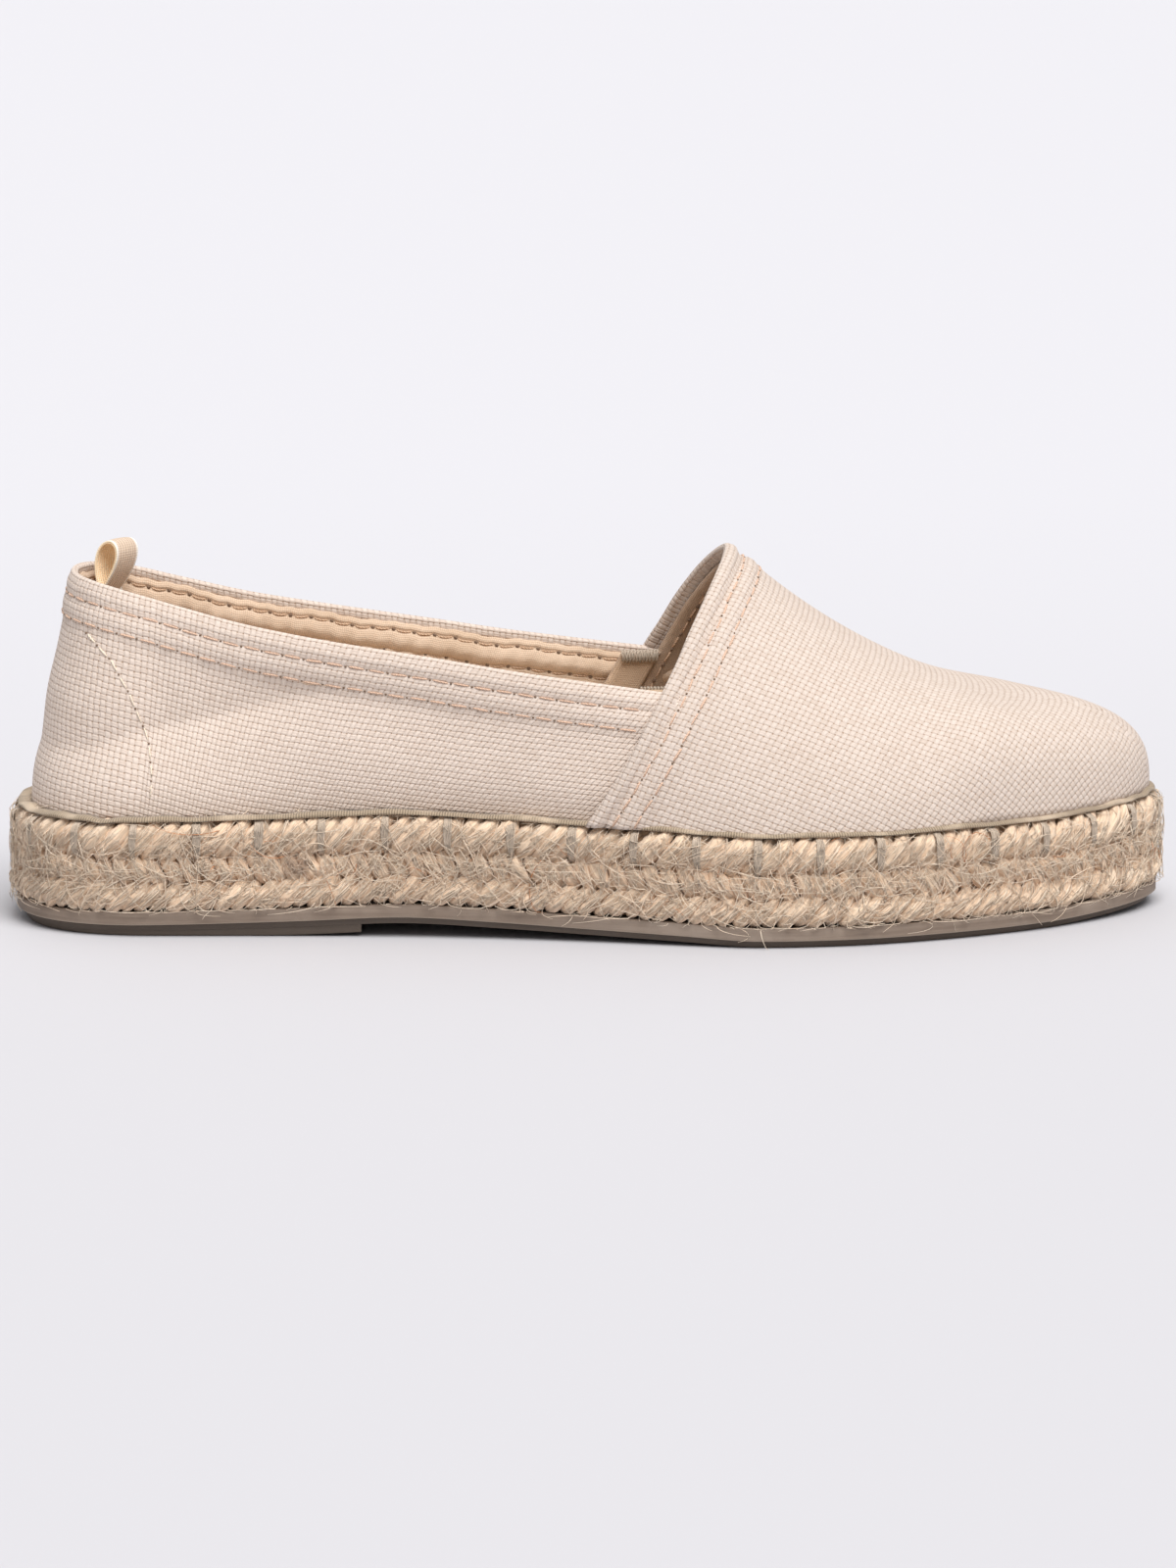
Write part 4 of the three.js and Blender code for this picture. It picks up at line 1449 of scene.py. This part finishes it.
def make_linings():
    tan = lining_material("tan lining", (0.86, 0.67, 0.5), (0.66, 0.48, 0.335))
    wanted = np.linspace(np.full(QUARTER_DOWN.shape[1], TAPE_TO - 2.5), QUARTER_DOWN[-1] - 1.0, 40)
    face = QUARTERS + QUARTER_OUT * np.minimum(QUARTER_RISE, 0.3)[..., None]
    rows = strip_points(face, wanted, np.full(len(wanted), LINING_DEPTH + 0.25))
    run = lengths_along(rows[5])
    threads = np.stack([np.broadcast_to(run, wanted.shape), wanted], -1)
    piece = panel("quarter_lining", rows, threads)
    finish_piece(smooth(cloth_solid(piece, 0.5)), tan, "sock")

    wanted = np.linspace(TAPE_FROM, TAPE_TO, TAPE_STEPS)
    share = (wanted - TAPE_FROM) / (TAPE_TO - TAPE_FROM)
    depth = LINING_DEPTH + 0.45 + 0.75 * bump_at(wanted, 5.0, 1.7) + 0.25 * np.sin(share * math.pi)
    for row in TAPE_ROWS:
        depth -= 0.45 * bump_at(wanted, row, 0.5)
    depth -= 0.65 * bump_at(share, 0, 0.07) + 0.35 * bump_at(share, 1, 0.04)
    flared = QUARTERS + QUARTER_OUT * collar_flare(QUARTER_DOWN)[..., None]
    rows = strip_points(flared, wanted, depth)
    run = lengths_along(rows[12])
    out = quarter_line(QUARTER_OUT, 6.0)
    up = rows[0] - rows[-1]
    up /= np.linalg.norm(up, axis=1)[:, None]
    ripple = 0.28 * np.sin(run * 0.33) * np.sin(run * 0.091 + 1) + 0.14 * np.sin(run * 1.4)
    puff = bump_at(wanted, 5.0, 2.2)[:, None] * (0.2 * np.sin(run * 2 * math.pi / TAPE_STITCH))[None]
    rows += up[None] * ripple[None, :, None] - out[None] * puff[..., None]
    tape = panel("topline_tape", rows, np.stack(np.meshgrid(run, wanted), -1))
    warm = lining_material("warm tan tape", (0.8, 0.61, 0.455), (0.59, 0.42, 0.285))
    finish_piece(smooth(cloth_solid(tape, 0.55)), warm, "tape")

    random.seed(31)
    pile = Pile()
    for row in TAPE_ROWS:
        line = at_distance(rows, np.repeat(wanted[:, None], rows.shape[1], 1), row)
        out = -quarter_line(QUARTER_OUT, row)
        sew(pile, line[10:-10], out[10:-10], TAPE_STITCH, gap=0.9, sink=0.0, hole=0.42)
    paint = thread_material("tan thread", (0.72, 0.5, 0.34), (0.5, 0.32, 0.2))
    finish_piece(pile.build("tape_stitching"), paint, "tape")

    inner = TOE_PART - TOE_OUT * toe_lining_inset(TOE_GAP)[..., None]
    lead = (toe_line(TOE_PART, 1.2) - toe_line(TOE_OUT, 1.2) * 3.0)[:, None]
    inner = np.concatenate([lead, inner[:, TOE_GAP.min(0) > 1.6]], 1)
    threads = laid_flat(inner, vamp_pattern(inner, VAMP_HALF_ROWS))
    vamp = join([panel("toe_lining", inner, threads, flip=True)], 0.004)
    brown = lining_material("brown-tan toe lining", (0.6, 0.44, 0.32), (0.42, 0.285, 0.19))
    finish_piece(smooth(cloth_solid(vamp, 0.5)), brown, "sock")

    pile = Pile()
    for gap in VAMP_ROWS:
        out = toe_line(TOE_OUT, gap)
        line = toe_line(TOE_PART, gap) - out * toe_lining_inset(gap)
        sew(pile, line[6:-6], -out[6:-6], LAP_STITCH, gap=1.1, sink=0.02, hole=0.42)
    finish_piece(pile.build("toe_lining_stitching"), paint, "tape")


make_linings()


# --- Joints of quarters and toe part --------------------------------------------------------
# Inside, where the quarters end under the toe part, a narrow tan strip covers the raw edges on
# each side, and a dense bar of grey thread locks the corner of the topline.
STRIP_WIDTH = 8.0
BAR_LENGTH = 7.6
BAR_HEIGHT = 2.7
BAR_THREADS = 22


def make_corner_joints():
    random.seed(3)
    strips, bars = [], Pile()
    for sign in (-1, 1):
        heights = np.linspace(53.5, 33, 26)
        steps = np.linspace(-0.5, 0.5, 13)
        rows = np.empty((len(heights), len(steps), 3))
        for i, height in enumerate(heights):
            for j, step in enumerate(steps):
                turn = 1.7
                for _ in range(8):
                    point = form_at_height(np.array([sign * -turn]), np.array([height]))[0]
                    at = (back_edge(point) - 1.2 + step * STRIP_WIDTH) / LENGTH + 0.5
                    turn = float(np.arccos(1 - 2 * at))
                edge_fold = 0.3 * np.exp(-(((abs(step) - 0.42) / 0.05) ** 2)) - 0.7 * (2 * abs(step)) ** 6
                wave = 0.15 * math.sin(height * 0.9 + sign) * abs(step)
                over_tape = 1.2 / (1 + math.exp((39.5 - height) / 0.8))
                rows[i, j] = point + (0, -np.sign(point[1]) * (3.2 + over_tape + edge_fold + wave), 0)
        threads = np.stack(np.meshgrid(steps * STRIP_WIDTH, heights), -1)
        strips.append(panel("corner_strips", rows, threads, flip=sign < 0))
        centre = rows[1, 6]
        inward = np.array([0, -np.sign(centre[1]), 0.0])
        across = (rows[1, -1] - rows[1, 0]) / np.linalg.norm(rows[1, -1] - rows[1, 0])
        for n in range(BAR_THREADS):
            place = centre + across * ((n / (BAR_THREADS - 1) - 0.5) * BAR_LENGTH) + inward * 0.5
            lean = 0.35 * (1 if n % 2 else -1)
            share = np.linspace(-0.5, 0.5, 5)
            bow = 0.5 * np.cos(share * math.pi) + random.uniform(-0.08, 0.12)
            path = place + np.outer(share * BAR_HEIGHT, (0, 0, 1)) + np.outer(share * lean, across)
            path += np.outer(bow, inward)
            bars.tube(path, random.uniform(0.24, 0.32), random.random(), shift=random.uniform(0, 50))
    strip = join(strips)
    paint = lining_material("tan strip", (0.72, 0.53, 0.37), (0.5, 0.34, 0.22))
    finish_piece(smooth(cloth_solid(strip, 0.5)), paint, "tape")
    grey = thread_material("grey-beige thread", (0.56, 0.46, 0.36), (0.36, 0.285, 0.215))
    finish_piece(bars.build("bar_tacks"), grey, "tape")


make_corner_joints()


# --- Sock -----------------------------------------------------------------------------------
# The padded insole that the foot stands on: cotton over thin foam, dished at the heel and the
# ball, with its edge rolled down against the lining.
SOCK_EDGE = [(6.0, 0.2), (5.6, 0.7), (5.4, 1.6), (5.6, 2.5), (6.2, 3.0)]  # (inset, rise)
SOCK_DISHES = [
    {"depth": 1.3, "x": -92, "long": 26, "wide": 20},  # under the heel
    {"depth": 1.1, "x": 55, "long": 34, "wide": 30},  # under the ball
]


def make_sock():
    rings = [ring(inset, lambda at, r=rise: jute_top(at) + GAP + r) for inset, rise in SOCK_EDGE]
    sock = ring_body("insole_sock", rings)
    mesh = sock.data
    flat = np.empty(len(mesh.vertices) * 3)
    mesh.vertices.foreach_get("co", flat)
    flat = flat.reshape(-1, 3)
    x, y = flat[:, 0] / MM, flat[:, 1] / MM
    _, _, at = sole_edge(np.arccos(np.clip(1 - 2 * (x / LENGTH + 0.5), -1, 1)))
    top = flat[:, 2] / MM > jute_top(at) + GAP + 2.9
    dish = 0 * x
    for place in SOCK_DISHES:
        dish += place["depth"] * bump_at(x, place["x"], place["long"]) * bump_at(y, 0, place["wide"])
    flat[:, 2] -= np.where(top, dish, 0) * MM
    mesh.vertices.foreach_set("co", flat.ravel())
    corner = np.empty(len(mesh.loops), int)
    mesh.loops.foreach_get("vertex_index", corner)
    mesh.uv_layers.active.data.foreach_set("uv", (flat[corner][:, :2] / MM).ravel())
    mesh.update()
    smooth(sock, 50)
    paint = lining_material("sock cotton", (0.74, 0.6, 0.46), (0.56, 0.43, 0.31))
    finish_piece(sock, paint, "sock", "insole")


make_sock()


# --- Pull loop ------------------------------------------------------------------------------
# A short length of ribbed cotton tape, folded into a drop shape and caught under the topline
# tape inside the heel.
LOOP_WIDTH = 7.0
LOOP_THICK = 0.55
LOOP_HALF = 2.75
LOOP_RISE = 10.7
LOOP_TAB = 10
LOOP_FOOT = (-103.8, 9.2, 69.6)
LOOP_TURN = math.radians(-38)
LOOP_LEAN = math.tan(math.radians(11))


def make_pull_loop():
    angle = np.linspace(0.16, 2 * math.pi - 0.16, 61)
    side = LOOP_HALF / 0.77 * np.sin(angle) * np.sin(angle / 2)
    up = LOOP_RISE * (1 - np.cos(angle)) / 2
    tab = np.linspace(LOOP_TAB, 0.8, 8)
    side = np.concatenate([np.full(8, 0.32), side, np.full(8, -0.32)])
    up = np.concatenate([-tab, up, -tab[::-1]])
    path = np.stack([side, up], 1)
    outer_face = [(share, 0.5) for share in np.linspace(-0.5, 0.5, 9)]
    inner_face = [(share, -0.5) for share in np.linspace(0.5, -0.5, 9)]
    section = np.array(outer_face + inner_face + outer_face[:1])
    t = np.array([math.cos(LOOP_TURN), math.sin(LOOP_TURN), 0])
    w = np.array([-math.sin(LOOP_TURN), math.cos(LOOP_TURN), 0])
    run = np.gradient(path, axis=0)
    run /= np.linalg.norm(run, axis=1)[:, None]
    facing = np.stack([run[:, 1], -run[:, 0]], 1)
    points = np.empty((len(section), len(path), 3))
    for j, (share, side) in enumerate(section):
        stand = side * LOOP_THICK + 0.25 * (1 - (2 * share) ** 2)
        sideways = path[:, 0] + facing[:, 0] * stand
        rise = path[:, 1] + facing[:, 1] * stand
        place = np.outer(sideways, t) + share * LOOP_WIDTH * w + np.outer(rise, (LOOP_LEAN, 0, 1))
        points[j] = place + np.array(LOOP_FOOT)
    lengths = lengths_along(path)
    round_section = np.concatenate([np.linspace(0, 1, 9), np.linspace(1.1, 2.1, 9), [2.2]]) * LOOP_WIDTH
    loop = join([panel("pull_loop_tape", points, np.stack(np.meshgrid(lengths, round_section), -1))], 0.01)
    edit_all(loop, bpy.ops.mesh.fill_holes, sides=0)
    smooth(edit_all(loop, bpy.ops.mesh.normals_make_consistent, inside=False), 50)
    material, tree, shader = new_material("ribbed tape", 0.75, 0.2, 0.15)
    uv = tree.uv()
    parts = tree.new("SeparateXYZ", i0=uv)
    ribs = tree.maths("SINE", tree.times(parts.outputs["Y"], 2 * math.pi / 0.75))
    picks = tree.maths("SINE", tree.times(parts.outputs["X"], 2 * math.pi / 0.5))
    lint = tree.noise(tree.scaled(uv, (0.6, 3, 1)), 1.0, 3)
    weave = tree.maths("MULTIPLY_ADD", ribs, 0.3, tree.maths("MULTIPLY_ADD", picks, 0.12, lint))
    inner = tree.ramp(parts.outputs["Y"], LOOP_WIDTH * 1.03, LOOP_WIDTH * 1.06)
    from_middle = tree.maths("ABSOLUTE", tree.maths("SUBTRACT", parts.outputs["Y"], LOOP_WIDTH / 2))
    on_outer = tree.maths("SUBTRACT", 1.0, inner)
    rim = tree.times(tree.ramp(from_middle, 2.85, 3.05), on_outer)
    shade = tree.ramp(weave, 0.2, 0.85)
    outside = tree.mixed(shade, (0.56, 0.42, 0.31), (0.75, 0.59, 0.455))
    # Partly painted light: the inner face is a warmer tan than the outer one, and is painted much lighter to
    # stand in for the light that reaches inside the loop.
    inside = tree.mixed(shade, (0.95, 0.68, 0.42), (1.0, 0.86, 0.62))
    base = tree.mixed(inner, outside, inside)
    tree.link(tree.mixed(rim, base, (0.9, 0.84, 0.76)), shader.inputs["Base Color"])
    tree.bumped(shader, weave, 0.18, 0.9)
    return finish_piece(loop, material, "tape", "pull_loop")


make_pull_loop()
